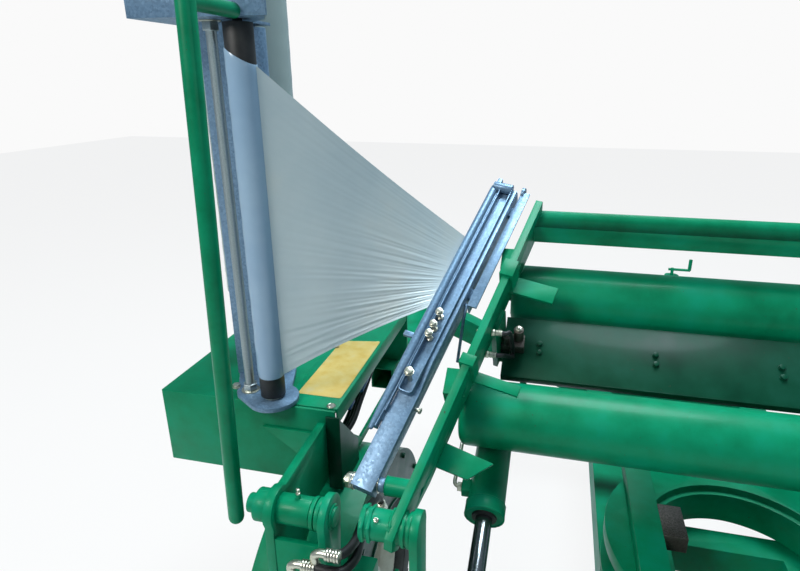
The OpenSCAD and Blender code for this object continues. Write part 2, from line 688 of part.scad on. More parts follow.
// the jaw bar along the arm's outer side, and the angle bar inside its far half
angle_from = 470;
module clamp_jaw(side) color(zinc) arm_place(side) {
  edge = -arm_w/2 - 16;
  translate([edge, 110, arm_h/2 - 10]) cube([12, arm_len - 100, 22]);
  for (y = [130, 420, 800]) translate([edge + 12 - small, y, arm_h/2 - 10]) cube([4 - gap, 40, 10]);
  // round lugs at the tip
  translate([0, arm_len - 26, arm_h/2 + 14 + gap]) tube_x(14, arm_w/2 + 28, -16 - arm_w/2);
  translate([arm_w/2 + 12, arm_len - 18, 20]) tube_x(17, 8, 0);
  // angle bar, held off the arm on two spacers
  translate([arm_w/2 + 12, angle_from, -6]) {
    cube([5, 400, 34]);
    translate([0, 0, 29]) cube([24, 400, 5]);
    for (y = [30, 320]) translate([gap - 12, y, 4]) cube([12 - gap + small, 30, 14]);
  }
}

// Tipping cylinders: the cylinder's end hangs from the table, the rod's eye sits at the turntable's foot

cyl_x = 655;
cyl_foot = [-120, -278];
cyl_top = [eye_a*cos(tilt) - eye_n*sin(tilt), eye_a*sin(tilt) + eye_n*cos(tilt)];
cyl_gland = 385;      // from the rod's eye to the cylinder's end at rest
module cyl_place(side) translate([side*cyl_x, hinge_y + cyl_foot[0], hinge_z + cyl_foot[1]])
  rotate([atan2(cyl_top[1] - cyl_foot[1], cyl_top[0] - cyl_foot[0]), 0, 0]) children();
cyl_full = norm(cyl_top - cyl_foot);
module tilt_cylinder(side) color(green) cyl_place(side) difference() {
  union() {
    tube_y(45, cyl_full - 60 - cyl_gland, cyl_gland);
    translate([0, cyl_full, 0]) tube_x(28, 30, -15);
    translate([-15, cyl_full - 64, -22]) cube([30, 50, 44]);
    tube_y(48, 30, cyl_gland - 6);
    for (y = [cyl_gland + 46, cyl_full - 100]) translate([side > 0 ? 20 : -64, y, -16]) cube([44, 32, 32]);
  }
  tube_y(20 + fit, 260, cyl_gland - 10);
  translate([0, cyl_full, 0]) tube_x(15, 60, -30);
}
module tilt_rod(side) color(zinc) cyl_place(side) difference() {
  union() {
    tube_y(20, 424, 40);
    translate([-15, 0, -15]) cube([30, 42, 30]);
    tube_x(28, 30, -15);
  }
  tube_x(15, 60, -30);
}

tow_eye();
drawbar();
main_frame();
axle_beam();
pedestal();
dispenser_box();
box_lid();
mudguard(-1);  // mudguard_left
mudguard(1);  // mudguard_right
front_stay();
bent_shield();
hinge_lug();
lug_boss();
lug_pin();
box_gusset();
reel_base();
reel_post();
reel_tie_rod();
stretch_roller();
alloy_roller();
film_roll();
film_web();
guard_bar();
hose_pair();
jack_tube();
jack_leg();
tyre(-1);  // tyre_left
rim(-1);  // rim_left
tyre(1);  // tyre_right
rim(1);  // rim_right
slew_ring();
turn_frame();
oil_manifold();
side_plate(-1);  // side_plate_left
side_plate(1);  // side_plate_right
table_cross();
drum(drum_half(drum_a), drum_a);  // drum_rear
drum(drum_half(drum_b), drum_b);  // drum_front
clamp_arm(-1);  // clamp_arm_left
clamp_jaw(-1);  // clamp_jaw_left
clamp_arm(1);  // clamp_arm_right
clamp_jaw(1);  // clamp_jaw_right
tilt_cylinder(-1);  // tilt_cylinder_left
tilt_rod(-1);  // tilt_rod_left
tilt_cylinder(1);  // tilt_cylinder_right
tilt_rod(1);  // tilt_rod_right
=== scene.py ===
"""Trailed bale wrapper, dressed for the photograph's view from behind its left wheel."""
import json
import math
import random

import bmesh
import bpy
from mathutils import Matrix, Vector, noise


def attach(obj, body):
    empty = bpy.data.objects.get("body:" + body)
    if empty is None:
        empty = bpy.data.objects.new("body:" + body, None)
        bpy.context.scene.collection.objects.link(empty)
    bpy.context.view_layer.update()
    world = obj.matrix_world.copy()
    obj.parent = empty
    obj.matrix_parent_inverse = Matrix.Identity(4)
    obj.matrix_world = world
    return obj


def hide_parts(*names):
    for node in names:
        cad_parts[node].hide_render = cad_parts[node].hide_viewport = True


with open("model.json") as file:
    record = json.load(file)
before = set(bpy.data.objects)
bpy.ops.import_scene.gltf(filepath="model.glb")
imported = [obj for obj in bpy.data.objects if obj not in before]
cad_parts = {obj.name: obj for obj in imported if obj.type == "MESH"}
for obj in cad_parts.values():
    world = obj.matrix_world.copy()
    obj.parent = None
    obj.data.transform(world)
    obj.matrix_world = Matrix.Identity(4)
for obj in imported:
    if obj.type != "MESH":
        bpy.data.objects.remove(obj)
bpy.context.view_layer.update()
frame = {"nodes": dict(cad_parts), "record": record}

# the model's own numbers, in metres

X, Y, Z = (1, 0, 0), (0, 1, 0), (0, 0, 1)
M8, M10, M12, M16 = 0.013, 0.017, 0.019, 0.024  # hexagons, across their flats
HANDS = (("left", -1), ("right", 1))

GROUND = -0.45
WHEEL = Vector((1.06, -2.75, -0.07))
GUARD_R, GUARD_IN = 0.394, 0.950  # a mudguard's radius, and its inner edge from the middle
TURN = Vector((0.0, -2.600, 0.0))
RING_TOP, RAIL_TOP = 0.1603, 0.030

# the tipping table: along its middle from the hinge, and up from its own plane
HINGE = Vector((0.0, -3.07, 0.47))
TILT = math.radians(35.0)
TAPER = math.radians(13.7)
REAR_HALF = 0.809
PLATE_T = 0.018
DRUMS = {"rear": 0.331, "front": 0.694}
DRUM_Z = -0.167
LUG_X = (-1.068, -0.952)

# the tipping cylinders: the table's eye, the frame's eye from the hinge, and the gland from that eye
EYE = Vector((0.453, -0.345))
FOOT = Vector((-0.120, -0.278))
CYLINDER_X, GLAND = -0.655, 0.385

# the clamp arms, and the jaw's bar in an arm's own frame
ARM_FOOT = Vector((0.889, 0.082, -0.021))
ARM_SKEW = math.radians(14.0)
ARM_TOP = 0.0203  # just clear of the arm's upper wall
JAW_X, JAW_Z, JAW_R = -0.0385, 0.0300, 0.0115
JAW_END = 0.868

# the box, and the film dispenser on its lid
BOX_X, BOX_Y, BOX_TOP, BOX_LEN = -1.026, -2.820, 0.545, 0.700
LID_TOP = BOX_TOP + 0.004
BASE_TOP = LID_TOP + 0.012
REEL_H, REEL_TOP = 0.850, 0.985
HEAD_TOP = BASE_TOP + REEL_H + 0.006
ROLL_ARM_TOP = BASE_TOP + REEL_TOP + 0.008
ROLLER, ROLLER_R = Vector((-1.190, -2.806, 0.0)), 0.030
ALLOY = Vector((-1.235, -2.672, 0.0))
TIE_ROD = Vector((-1.259, -2.793, 0.0))
FILM_ROLL = Vector((-1.337, -2.520, 0.0))
ROLL_LOW, ROLL_TALL = BASE_TOP + 0.175, 0.750
# the film: its lower edge, its flat width and length, its width off the roller, and its place on the jaw
WEB_LOW, WEB_TALL, WEB_LONG, WEB_SEEN = LID_TOP + 0.075, 0.740, 0.62, 0.700
WEB_JAW = (0.430, 0.670)

TABLE = Matrix.Translation(HINGE) @ Matrix.Rotation(TILT, 4, "X")
MIRROR = Matrix.Scale(-1, 4, Vector(X))
ARM = (
    Matrix.Translation(Vector((-ARM_FOOT.x, ARM_FOOT.y, ARM_FOOT.z)))
    @ Matrix.Rotation(-ARM_SKEW, 4, "Z")
)
PLATE = Matrix.Translation(Vector((-REAR_HALF, 0, 0))) @ Matrix.Rotation(-TAPER, 4, "Z")
SIDES = {"left": Matrix.Identity(4), "right": MIRROR}

body_of = {
    node: body
    for body, nodes in frame["record"]["behaviour"]["bodies"].items()
    for node in nodes
}


# camera, light and floor

CAMERA_AT = Vector((-0.55, -3.94, 1.30))
CAMERA_RIGHT = Vector((0.973, 0.232, 0.0))
CAMERA_FORWARD = Vector((-0.219, 0.915, -0.338))
PHOTO_WIDE, FOCAL, AXIS_U = 800.0, 577.0, 418.5  # pixels: the photograph's width, focal length and axis
SENSOR = 36.0

LAMPS = (
    # name, place, what it is aimed at, watts, diameter, colour
    ("key", (-3.6, -6.4, 4.6), (-0.5, -2.7, 0.3), 260, 2.2, (1.0, 0.98, 0.93)),
    ("fill", (3.8, -6.0, 3.2), (-0.3, -2.6, 0.3), 28, 3.2, (0.93, 0.96, 1.0)),
    ("top", (-0.4, -1.2, 4.8), (-0.4, -2.6, 0.3), 330, 2.6, (0.78, 0.92, 1.0)),
)
SKY_STRENGTH = 0.48
FLOOR_WHITE = 0.9  # the share of plain white in the floor that the camera sees


def placed(name, data):
    """A new object in the scene, at the origin."""
    obj = bpy.data.objects.new(name, data)
    bpy.context.scene.collection.objects.link(obj)
    return obj


def aim_camera():
    """The photograph's camera, in the machine's own frame."""
    data = bpy.data.cameras.new("camera")
    camera = placed("camera", data)
    forward = CAMERA_FORWARD.normalized()
    right = (CAMERA_RIGHT - forward * CAMERA_RIGHT.dot(forward)).normalized()
    up = right.cross(forward)
    turn = Matrix((right, up, -forward)).transposed().to_4x4()
    camera.matrix_world = Matrix.Translation(CAMERA_AT) @ turn
    data.sensor_width = SENSOR
    data.lens = FOCAL / PHOTO_WIDE * SENSOR
    data.shift_x = 0.5 - AXIS_U / PHOTO_WIDE
    data.clip_start = 0.05
    data.clip_end = 100.0
    bpy.context.scene.camera = camera


def lamp(name, at, target, energy, size, colour):
    """A round area lamp that faces its target."""
    data = bpy.data.lights.new(name, "AREA")
    data.energy = energy
    data.color = colour
    data.shape = "DISK"
    data.size = size
    obj = placed(name, data)
    obj.location = at
    obj.rotation_euler = (Vector(target) - Vector(at)).to_track_quat("-Z", "Y").to_euler()


def linear(code):
    """A hex sRGB colour as linear RGBA."""
    parts = [int(code[i:i + 2], 16) / 255.0 for i in (1, 3, 5)]
    return tuple(c / 12.92 if c <= 0.04045 else ((c + 0.055) / 1.055) ** 2.4 for c in parts) + (1.0,)


def wire(tree, node, inputs):
    """Sets a node's inputs; a value is a plain one, a socket to link, or a node for its first output."""
    for key, value in inputs.items():
        if isinstance(value, bpy.types.Node):
            value = value.outputs[0]
        if isinstance(value, bpy.types.NodeSocket):
            tree.links.new(value, node.inputs[key])
        else:
            node.inputs[key].default_value = value


def add(tree, kind, inputs, stops=(), **settings):
    """A node with its settings and inputs, and with a colour ramp's stops as (position, hex)."""
    node = tree.nodes.new(kind)
    for key, value in settings.items():
        setattr(node, key, value)
    if stops:
        for _ in stops[2:]:
            node.color_ramp.elements.new(0.5)
        for element, (position, code) in zip(node.color_ramp.elements, stops):
            element.position = position
            element.color = linear(code)
    wire(tree, node, inputs)
    return node


def set_stage():
    """Light from all round, a pale floor under the wheels, and the lamps."""
    world = bpy.data.worlds.new("studio")
    bpy.context.scene.world = world
    world.use_nodes = True
    tree = world.node_tree
    tree.nodes.clear()
    path = add(tree, "ShaderNodeLightPath", {})
    dim = add(tree, "ShaderNodeBackground", {"Color": linear("#B9D2E6"), "Strength": SKY_STRENGTH})
    pale = add(tree, "ShaderNodeBackground", {"Color": linear("#FAFAFA"), "Strength": 1.0})
    rays = {0: path.outputs["Is Camera Ray"], 1: path.outputs["Is Transmission Ray"]}
    seen = add(tree, "ShaderNodeMath", rays, operation="MAXIMUM")
    mix = add(tree, "ShaderNodeMixShader", {0: seen, 1: dim, 2: pale})
    add(tree, "ShaderNodeOutputWorld", {"Surface": mix})

    # the camera sees the floor nearly white, with the object's shadow still on it
    tree, shader = finish("pale_floor", Base_Color=linear("#E4E4E2"), Roughness=0.95, Specular_IOR_Level=0.1)
    path = add(tree, "ShaderNodeLightPath", {})
    share = {0: path.outputs["Is Camera Ray"], 1: FLOOR_WHITE}
    part = add(tree, "ShaderNodeMath", share, operation="MULTIPLY")
    white = add(tree, "ShaderNodeEmission", {"Color": linear("#FAFAFA"), "Strength": 1.0})
    mix = add(tree, "ShaderNodeMixShader", {0: part, 1: shader, 2: white})
    wire(tree, tree.nodes["Material Output"], {"Surface": mix})
    bm = bmesh.new()
    bmesh.ops.create_grid(bm, x_segments=1, y_segments=1, size=14.0)
    bmesh.ops.translate(bm, verts=bm.verts, vec=(0, -1.5, GROUND - 0.001))
    mesh = bpy.data.meshes.new("floor")
    bm.to_mesh(mesh)
    mesh.materials.append(materials["pale_floor"])
    placed("floor", mesh)
    for settings in LAMPS:
        lamp(*settings)
    bpy.context.scene.view_settings.view_transform = "Standard"


# finishes

RAMP, MIX = "ShaderNodeValToRGB", "ShaderNodeMix"
UNDER, OVER, BLEND = 6, 7, 2  # the colour mix node's two colours, and its output
GREEN, PAINTED_SHADE = "green_enamel", "painted_shade_enamel"
ZINC, PLATED, STEEL, RUBBER = "hot_dip_zinc", "bright_zinc_plate", "bare_steel", "black_rubber"
materials = {}


def finish(name, **shader_values):
    """A new material with its shader; the function that calls it adds the pattern."""
    material = bpy.data.materials.new(name)
    material.use_nodes = True
    tree = material.node_tree
    shader = tree.nodes["Principled BSDF"]
    for key, value in shader_values.items():
        shader.inputs[key.replace("_", " ")].default_value = value
    materials[name] = material
    return tree, shader


def grain(tree, scale, detail, rough, stretch=(1, 1, 1)):
    """Noise on the piece's own coordinates, scale in waves a metre."""
    place = add(tree, "ShaderNodeTexCoord", {})
    mapping = add(tree, "ShaderNodeMapping", {"Vector": place.outputs["Object"], "Scale": stretch})
    inputs = {"Vector": mapping, "Scale": scale, "Detail": detail, "Roughness": rough}
    return add(tree, "ShaderNodeTexNoise", inputs)


def surface(tree, shader, colour, relief, strength, distance):
    """Links the shader's colour, and a bump from a pattern, its height in metres."""
    normal = add(tree, "ShaderNodeBump", {"Height": relief, "Strength": strength, "Distance": distance})
    wire(tree, shader, {"Base Color": colour, "Normal": normal})


def green_enamel(name, deep, fresh, dusty):
    """Sprayed machinery enamel: a thin orange peel, dust in patches and a few chips."""
    tree, shader = finish(name, Roughness=0.34, Coat_Weight=0.04, Coat_Roughness=0.1, Specular_IOR_Level=0.12)
    cloud = grain(tree, 7.0, 6.0, 0.62)
    body = add(tree, RAMP, {0: cloud}, [(0.32, deep), (0.55, fresh), (0.78, dusty)])
    dust = add(tree, RAMP, {0: grain(tree, 60.0, 5.0, 0.7)}, [(0.62, "#000000"), (0.86, "#1C1C1C")])
    chips = add(tree, RAMP, {0: grain(tree, 145.0, 3.0, 0.6)}, [(0.715, "#000000"), (0.74, "#FFFFFF")])
    dusted = add(tree, MIX, {0: dust, UNDER: body, OVER: linear("#4F8672")}, data_type="RGBA").outputs[BLEND]
    colour = add(tree, MIX, {0: chips, UNDER: dusted, OVER: linear("#3B3128")}, data_type="RGBA").outputs[BLEND]
    wire(tree, shader, {"Roughness": add(tree, RAMP, {0: cloud}, [(0.3, "#989898"), (0.75, "#BEBEBE")])})
    surface(tree, shader, colour, grain(tree, 420.0, 2.0, 0.5), 0.12, 0.0006)


def hot_dip_zinc(name):
    """Hot dip galvanised steel: crystals about 9 mm across, each its own grey, under a dull film."""
    tree, shader = finish(name, Metallic=0.4, Roughness=0.5)
    place = add(tree, "ShaderNodeTexCoord", {})
    crystals = add(tree, "ShaderNodeTexVoronoi", {"Vector": place.outputs["Object"], "Scale": 210.0})
    tone = add(tree, "ShaderNodeSeparateColor", {0: crystals.outputs["Color"]})
    clean = add(tree, RAMP, {0: tone}, [(0.0, "#587289"), (0.5, "#607C95"), (1.0, "#6B87A0")])
    stain = add(tree, RAMP, {0: grain(tree, 14.0, 6.0, 0.65)}, [(0.55, "#000000"), (0.75, "#8C8C8C")])
    colour = add(tree, MIX, {0: stain, UNDER: clean, OVER: linear("#7D878C")}, data_type="RGBA").outputs[BLEND]
    wire(tree, shader, {"Roughness": add(tree, RAMP, {0: tone.outputs[1]}, [(0.0, "#9A9A9A"), (1.0, "#BEBEBE")])})
    surface(tree, shader, colour, tone.outputs[2], 0.08, 0.0004)


def plated_steel(name, dark, pale, rough):
    """Turned steel, bright or browned: fine machining lines and a little stain."""
    tree, shader = finish(name, Metallic=0.92, Roughness=rough)
    lines = grain(tree, 260.0, 3.0, 0.6, (1, 1, 6))
    colour = add(tree, RAMP, {0: lines}, [(0.3, dark), (0.7, pale)])
    surface(tree, shader, colour, lines, 0.06, 0.0003)


def moulded_rubber(name, dark, dusty, rough, pores):
    """Black rubber with dust in its pores."""
    tree, shader = finish(name, Roughness=rough, Specular_IOR_Level=0.4)
    colour = add(tree, RAMP, {0: grain(tree, 9.0, 6.0, 0.65)}, [(0.42, dark), (0.72, dusty)])
    surface(tree, shader, colour, grain(tree, pores, 3.0, 0.6), 0.15, 0.0008)


def stretch_film(name, dark, mid, pale):
    """Polythene stretch film, several layers thick: milky, a little clear, with fine drawn lines."""
    tree, shader = finish(name, Roughness=0.26, Specular_IOR_Level=0.6, Alpha=0.94)
    colour = add(tree, RAMP, {0: grain(tree, 3.0, 5.0, 0.6)}, [(0.3, dark), (0.55, mid), (0.75, pale)])
    surface(tree, shader, colour, grain(tree, 90.0, 2.0, 0.5, (0.12, 0.12, 1.0)), 0.18, 0.0012)


def sign_plate(name):
    """A printed sheet, left blank: faded yellow, rubbed grey in spots."""
    tree, shader = finish(name, Roughness=0.4)
    faded = [(0.3, "#B4933C"), (0.55, "#BDA45C"), (0.8, "#B9AC7E")]
    clean = add(tree, RAMP, {0: grain(tree, 22.0, 6.0, 0.6)}, faded)
    rub = grain(tree, 120.0, 4.0, 0.7)
    spots = add(tree, RAMP, {0: rub}, [(0.66, "#000000"), (0.7, "#C0C0C0")])
    colour = add(tree, MIX, {0: spots, UNDER: clean, OVER: linear("#8A8A80")}, data_type="RGBA").outputs[BLEND]
    surface(tree, shader, colour, rub, 0.05, 0.0003)


def one_colour(name, base, worn, rough):
    """One colour with road film: enamel brushed on, such as a rim's, or the roll's card."""
    tree, shader = finish(name, Roughness=rough)
    colour = add(tree, RAMP, {0: grain(tree, 12.0, 6.0, 0.65)}, [(0.4, base), (0.75, worn)])
    surface(tree, shader, colour, grain(tree, 350.0, 2.0, 0.5), 0.1, 0.0005)


green_enamel(GREEN, "#006642", "#007A54", "#008566")
# the same enamel much darker, as painted shade for the parts that lie in shade
green_enamel(PAINTED_SHADE, "#002C1C", "#003A27", "#084534")
hot_dip_zinc(ZINC)
plated_steel("drawn_rod", "#8E9A9C", "#B6BDBC", 0.34)
plated_steel(PLATED, "#A9A795", "#D2D0C0", 0.3)
plated_steel("chromed_rod", "#55585A", "#8A8E90", 0.18)
plated_steel(STEEL, "#4A443D", "#77716A", 0.5)
moulded_rubber(RUBBER, "#121213", "#2B2B2A", 0.5, 300.0)
moulded_rubber("tyre_rubber", "#151515", "#3A3834", 0.72, 220.0)
stretch_film("stretch_film", "#B0BFC4", "#BCC8CA", "#C8CDC8")
stretch_film("film_over_black", "#7E9AB4", "#88A2B9", "#93ABBF")
stretch_film("film_on_the_roll", "#8B9A98", "#95A3A0", "#9FABA6")
sign_plate("blank_sign")
one_colour("cream_enamel", "#CFCCC0", "#A79F8C", 0.42)
one_colour("blue_enamel", "#2E5E9E", "#27507F", 0.4)
one_colour("kraft_card", "#A9855B", "#8E6C46", 0.8)


# making pieces

def piece(name, bm, material, body="chassis", replaces=(), sharp=32.0):
    """A finished object at the origin, riding on its body."""
    mesh = bpy.data.meshes.new(name)
    bm.to_mesh(mesh)
    bm.free()
    for face in mesh.polygons:
        face.use_smooth = True
    mesh.set_sharp_from_angle(angle=math.radians(sharp))
    mesh.materials.append(materials[material])
    obj = placed(name, mesh)
    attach(obj, body)
    if replaces:
        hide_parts(*replaces)
    return obj


def merged(parts):
    """Several shapes in one."""
    whole = bmesh.new()
    for part in parts:
        mesh = bpy.data.meshes.new("part")
        part.to_mesh(mesh)
        part.free()
        whole.from_mesh(mesh)
        bpy.data.meshes.remove(mesh)
    return whole


def fitted(name, parts, matrix, material, body):
    """Shapes in a part's own frame as one piece in place; a mirrored one is turned right side out."""
    bm = merged(parts)
    bm.transform(matrix)
    if matrix.to_3x3().determinant() < 0:
        bmesh.ops.reverse_faces(bm, faces=bm.faces)
    return piece(name, bm, material, body)


SAME_PLACE = 0.00002  # corners nearer than this are joined
SAME_PLANE = math.radians(0.8)  # and faces that differ by less


def soften(bm, radius, angle=28.0):
    """Rounds the edges that a grinder or a fold would round."""
    edges = [e for e in bm.edges if e.is_manifold and e.calc_face_angle(0.0) > math.radians(angle)]
    if edges:
        bmesh.ops.bevel(
            bm, geom=edges, offset=radius, segments=2, profile=0.5, affect="EDGES", clamp_overlap=True,
            material=-1,
        )
    return bm


def dress(node, material, radius):
    """A CAD node's own shape with its edges rounded, in place of the node."""
    bm = bmesh.new()
    bm.from_mesh(frame["nodes"][node].data)
    bmesh.ops.remove_doubles(bm, verts=bm.verts, dist=SAME_PLACE)
    bmesh.ops.dissolve_limit(bm, angle_limit=SAME_PLANE, verts=bm.verts, edges=bm.edges)
    soften(bm, radius)
    return piece(node + "_steel", bm, material, body_of[node], (node,))


def block(low, high, radius=0.0012):
    """A box between two corners."""
    bm = bmesh.new()
    bmesh.ops.create_cube(bm, size=1.0)
    low, high = Vector(low), Vector(high)
    bmesh.ops.scale(bm, verts=bm.verts, vec=high - low)
    bmesh.ops.translate(bm, verts=bm.verts, vec=(low + high) / 2)
    return soften(bm, radius) if radius else bm


def disc(start, end, radius, sides=28, edge=0.001):
    """A round bar from start to end, with its rims broken."""
    start, end = Vector(start), Vector(end)
    bm = bmesh.new()
    bmesh.ops.create_cone(
        bm, cap_ends=True, cap_tris=False, segments=sides, radius1=radius, radius2=radius,
        depth=(end - start).length,
    )
    if edge:
        soften(bm, edge, 50.0)
    turn = Vector(Z).rotation_difference((end - start).normalized()).to_matrix().to_4x4()
    bm.transform(Matrix.Translation((start + end) / 2) @ turn)
    return bm


def nut(start, end, across, edge=0.0008):
    """A hexagon, its size given across its flats."""
    return disc(start, end, across / math.sqrt(3), 6, edge)


def column(at, low, high, radius, sides=28, edge=0.001):
    """A disc on an upright axis."""
    return disc((at[0], at[1], low), (at[0], at[1], high), radius, sides, edge)


def hexagon(at, low, high, across, edge=0.0008):
    """A nut on an upright axis."""
    return nut((at[0], at[1], low), (at[0], at[1], high), across, edge)


# a washer's thickness, and its radius and a thread's as shares of the hexagon
WASHER_T, WASHER_R, THREAD_R = 0.0025, 0.62, 0.3


def bolt(at, normal, across=M12, head=0.008, stud=0.0):
    """A hexagon head on its washer, with the thread's end above a nut where stud is given."""
    at, normal = Vector(at), Vector(normal).normalized()
    top = WASHER_T + head
    parts = [
        disc(at, at + normal * WASHER_T, across * WASHER_R, 24, 0.0005),
        nut(at + normal * WASHER_T, at + normal * top, across),
    ]
    if stud:
        parts.append(disc(at + normal * (top - 0.001), at + normal * (top + stud), across * THREAD_R, 14))
    return merged(parts)


def revolve(profile, axis_point, axis, steps):
    """Turns a closed outline of (radius, along) about an axis."""
    bm = bmesh.new()
    axis = Vector(axis).normalized()
    side = axis.orthogonal().normalized()
    ring = [bm.verts.new(Vector(axis_point) + side * r + axis * h) for r, h in profile]
    edges = [bm.edges.new((ring[i], ring[(i + 1) % len(ring)])) for i in range(len(ring))]
    bmesh.ops.spin(bm, geom=ring + edges, cent=axis_point, axis=axis, angle=math.tau, steps=steps, use_merge=True)
    bmesh.ops.remove_doubles(bm, verts=bm.verts, dist=1e-6)
    bmesh.ops.recalc_face_normals(bm, faces=bm.faces)
    return bm


def sheet_metal(outline, thickness, radius=0.001, low=0.0):
    """A flat plate from its outline, its lower face at low."""
    bm = bmesh.new()
    face = bm.faces.new([bm.verts.new((x, y, low)) for x, y in outline])
    grown = bmesh.ops.extrude_face_region(bm, geom=[face])
    upper = [v for v in grown["geom"] if isinstance(v, bmesh.types.BMVert)]
    bmesh.ops.translate(bm, verts=upper, vec=(0, 0, thickness))
    bmesh.ops.recalc_face_normals(bm, faces=bm.faces)
    return soften(bm, radius, 40.0) if radius else bm


def smooth_path(points, steps=6):
    """Points on a smooth curve through the given ones."""
    points = [Vector(p) for p in points]
    out = []
    for i in range(len(points) - 1):
        a = points[max(i - 1, 0)]
        b, c = points[i], points[i + 1]
        d = points[min(i + 2, len(points) - 1)]
        for k in range(steps):
            t = k / steps
            out.append(0.5 * (
                2 * b + (c - a) * t + (2 * a - 5 * b + 4 * c - d) * t * t + (3 * b - a - 3 * c + d) * t ** 3
            ))
    out.append(points[-1])
    return out


def skin(bm, rows, closed):
    """Rows of points joined by quads, also from each row's end to its start where closed."""
    rows = [[bm.verts.new(point) for point in row] for row in rows]
    width = len(rows[0])
    for one, two in zip(rows, rows[1:]):
        for k in range(width if closed else width - 1):
            n = (k + 1) % width
            bm.faces.new((one[k], one[n], two[n], two[k]))
    return rows


def hose(points, radius, sides=14):
    """A round tube along a path, its ends capped; its radius may be a list, one for each point."""
    rings = []
    normal = None
    for i, point in enumerate(points):
        ahead = (points[min(i + 1, len(points) - 1)] - points[max(i - 1, 0)]).normalized()
        if normal is None:
            normal = ahead.orthogonal().normalized()
        else:
            normal = (normal - ahead * normal.dot(ahead)).normalized()
        across = ahead.cross(normal)
        r = radius[i] if isinstance(radius, list) else radius
        turns = [math.tau * k / sides for k in range(sides)]
        rings.append([point + (normal * math.cos(a) + across * math.sin(a)) * r for a in turns])
    bm = bmesh.new()
    ends = skin(bm, rings, True)
    bm.faces.new(list(reversed(ends[0])))
    bm.faces.new(ends[-1])
    bmesh.ops.recalc_face_normals(bm, faces=bm.faces)
    return bm


DROP, BEAD = 0.003, 0.0035  # from drop to drop in a weld, and its radius


def weld(points, radius=BEAD, seed=1):
    """A run of weld: a bead whose thickness swells with each drop."""
    path = []
    for a, b in zip(points, points[1:]):
        a, b = Vector(a), Vector(b)
        count = max(2, int((b - a).length / DROP))
        path += [a.lerp(b, k / count) for k in range(count)]
    path.append(Vector(points[-1]))
    swell = random.Random(seed)
    radii = [radius * (0.85 + 0.25 * abs(math.sin(k * 0.9)) + 0.1 * swell.random()) for k in range(len(path))]
    return hose(path, radii, 7)


def ring_weld(centre, axis, radius, bead=BEAD, seed=1):
    """A weld run round a shaft or a boss."""
    axis = Vector(axis).normalized()
    side = axis.orthogonal().normalized()
    over = axis.cross(side)
    turns = [math.tau * k / 40 for k in range(41)]
    points = [Vector(centre) + (side * math.cos(a) + over * math.sin(a)) * radius for a in turns]
    return weld(points, bead, seed)


# steelwork: CAD shapes with broken edges

DRESSED = (
    # finish, how far the edges are rounded, nodes
    # the bent shield takes the darker enamel: its colour is painted shade
    (PAINTED_SHADE, 0.0015, ("bent_shield",)),
    (GREEN, 0.0015, (
        "drawbar", "main_frame", "axle_beam", "pedestal", "dispenser_box", "hinge_lug", "lug_pin", "lug_boss",
        "box_gusset", "guard_bar", "jack_tube", "box_lid", "front_stay", "mudguard_left", "mudguard_right",
        "slew_ring", "turn_frame", "side_plate_left", "side_plate_right", "table_cross", "drum_rear",
        "drum_front", "tilt_cylinder_left", "tilt_cylinder_right",
    )),
    (ZINC, 0.001, (
        "reel_base", "reel_post", "jack_leg", "clamp_arm_left", "clamp_arm_right", "clamp_jaw_left",
        "clamp_jaw_right", "alloy_roller",
    )),
    ("chromed_rod", 0.0008, ("tilt_rod_left", "tilt_rod_right")),
    ("drawn_rod", 0.0008, ("reel_tie_rod",)),
    (STEEL, 0.003, ("tow_eye",)),
    (RUBBER, 0.0015, ("stretch_roller",)),
    (STEEL, 0.001, ("oil_manifold",)),
)
for finish_name, rounding, nodes in DRESSED:
    for node in nodes:
        dress(node, finish_name, rounding)


# wheels

def tyre_profile():
    """The tyre's cross section as (radius, across), open to the rim."""
    outer = [(0.2055, -0.096), (0.212, -0.108), (0.232, -0.118), (0.262, -0.1235), (0.300, -0.125),
             (0.330, -0.1225), (0.348, -0.116)]
    rib = [(0.3665, -0.0165), (0.3795, -0.0135), (0.380, 0.0), (0.3795, 0.0135), (0.3665, 0.0165)]
    tread = [(r, 0.043 * k + a) for k in range(-2, 3) for r, a in rib]
    inner = [(0.206, 0.080), (0.250, 0.105), (0.330, 0.099), (0.346, 0.085), (0.346, -0.085), (0.330, -0.099),
             (0.250, -0.105), (0.206, -0.080)]
    return outer + tread + [(r, -a) for r, a in reversed(outer)] + inner


def make_tyre(side, centre):
    """The tyre, with raised rings on both walls and blocks on its shoulders."""
    blocks = 48
    parts = [revolve(tyre_profile(), centre, X, 96)]
    for wall in (-1, 1):
        for radius, across in ((0.252, 0.1225), (0.318, 0.1242)):
            ring = ((-0.003, -0.003), (0.003, -0.003), (0.002, 0.0005), (-0.002, 0.0005))
            parts.append(revolve([(radius + r, wall * (across + a)) for r, a in ring], centre, X, 96))
        middle = wall * 0.113
        for k in range(blocks):
            lug = block((middle - 0.006, -0.011, 0.345), (middle + 0.006, 0.011, 0.367), 0.002)
            lug.transform(Matrix.Translation(centre) @ Matrix.Rotation(math.tau * k / blocks, 4, "X"))
            parts.append(lug)
    piece(f"tyre_{side}_rubber", merged(parts), "tyre_rubber", f"wheel_{side}", (f"tyre_{side}",), 40.0)


def make_wheel_nuts(side, sign, centre):
    """Five wheel nuts on their studs, the hub's cap and the valve."""
    out = Vector((sign, 0, 0))
    studs, circle = 5, 0.075
    parts = []
    for k in range(studs):
        a = math.tau * k / studs
        at = centre + Vector((0.021 * sign, circle * math.cos(a), circle * math.sin(a)))
        parts.append(bolt(at, out, M12, 0.012, 0.008))
    parts.append(disc(centre + out * 0.076, centre + out * 0.092, 0.031, 32, 0.005))
    valve = centre + Vector((0.03 * sign, 0.15, 0.0))
    parts.append(disc(valve, valve + Vector((0.035 * sign, 0.006, 0)), 0.004, 12, 0.001))
    piece(f"wheel_nuts_{side}", merged(parts), PLATED, f"wheel_{side}")


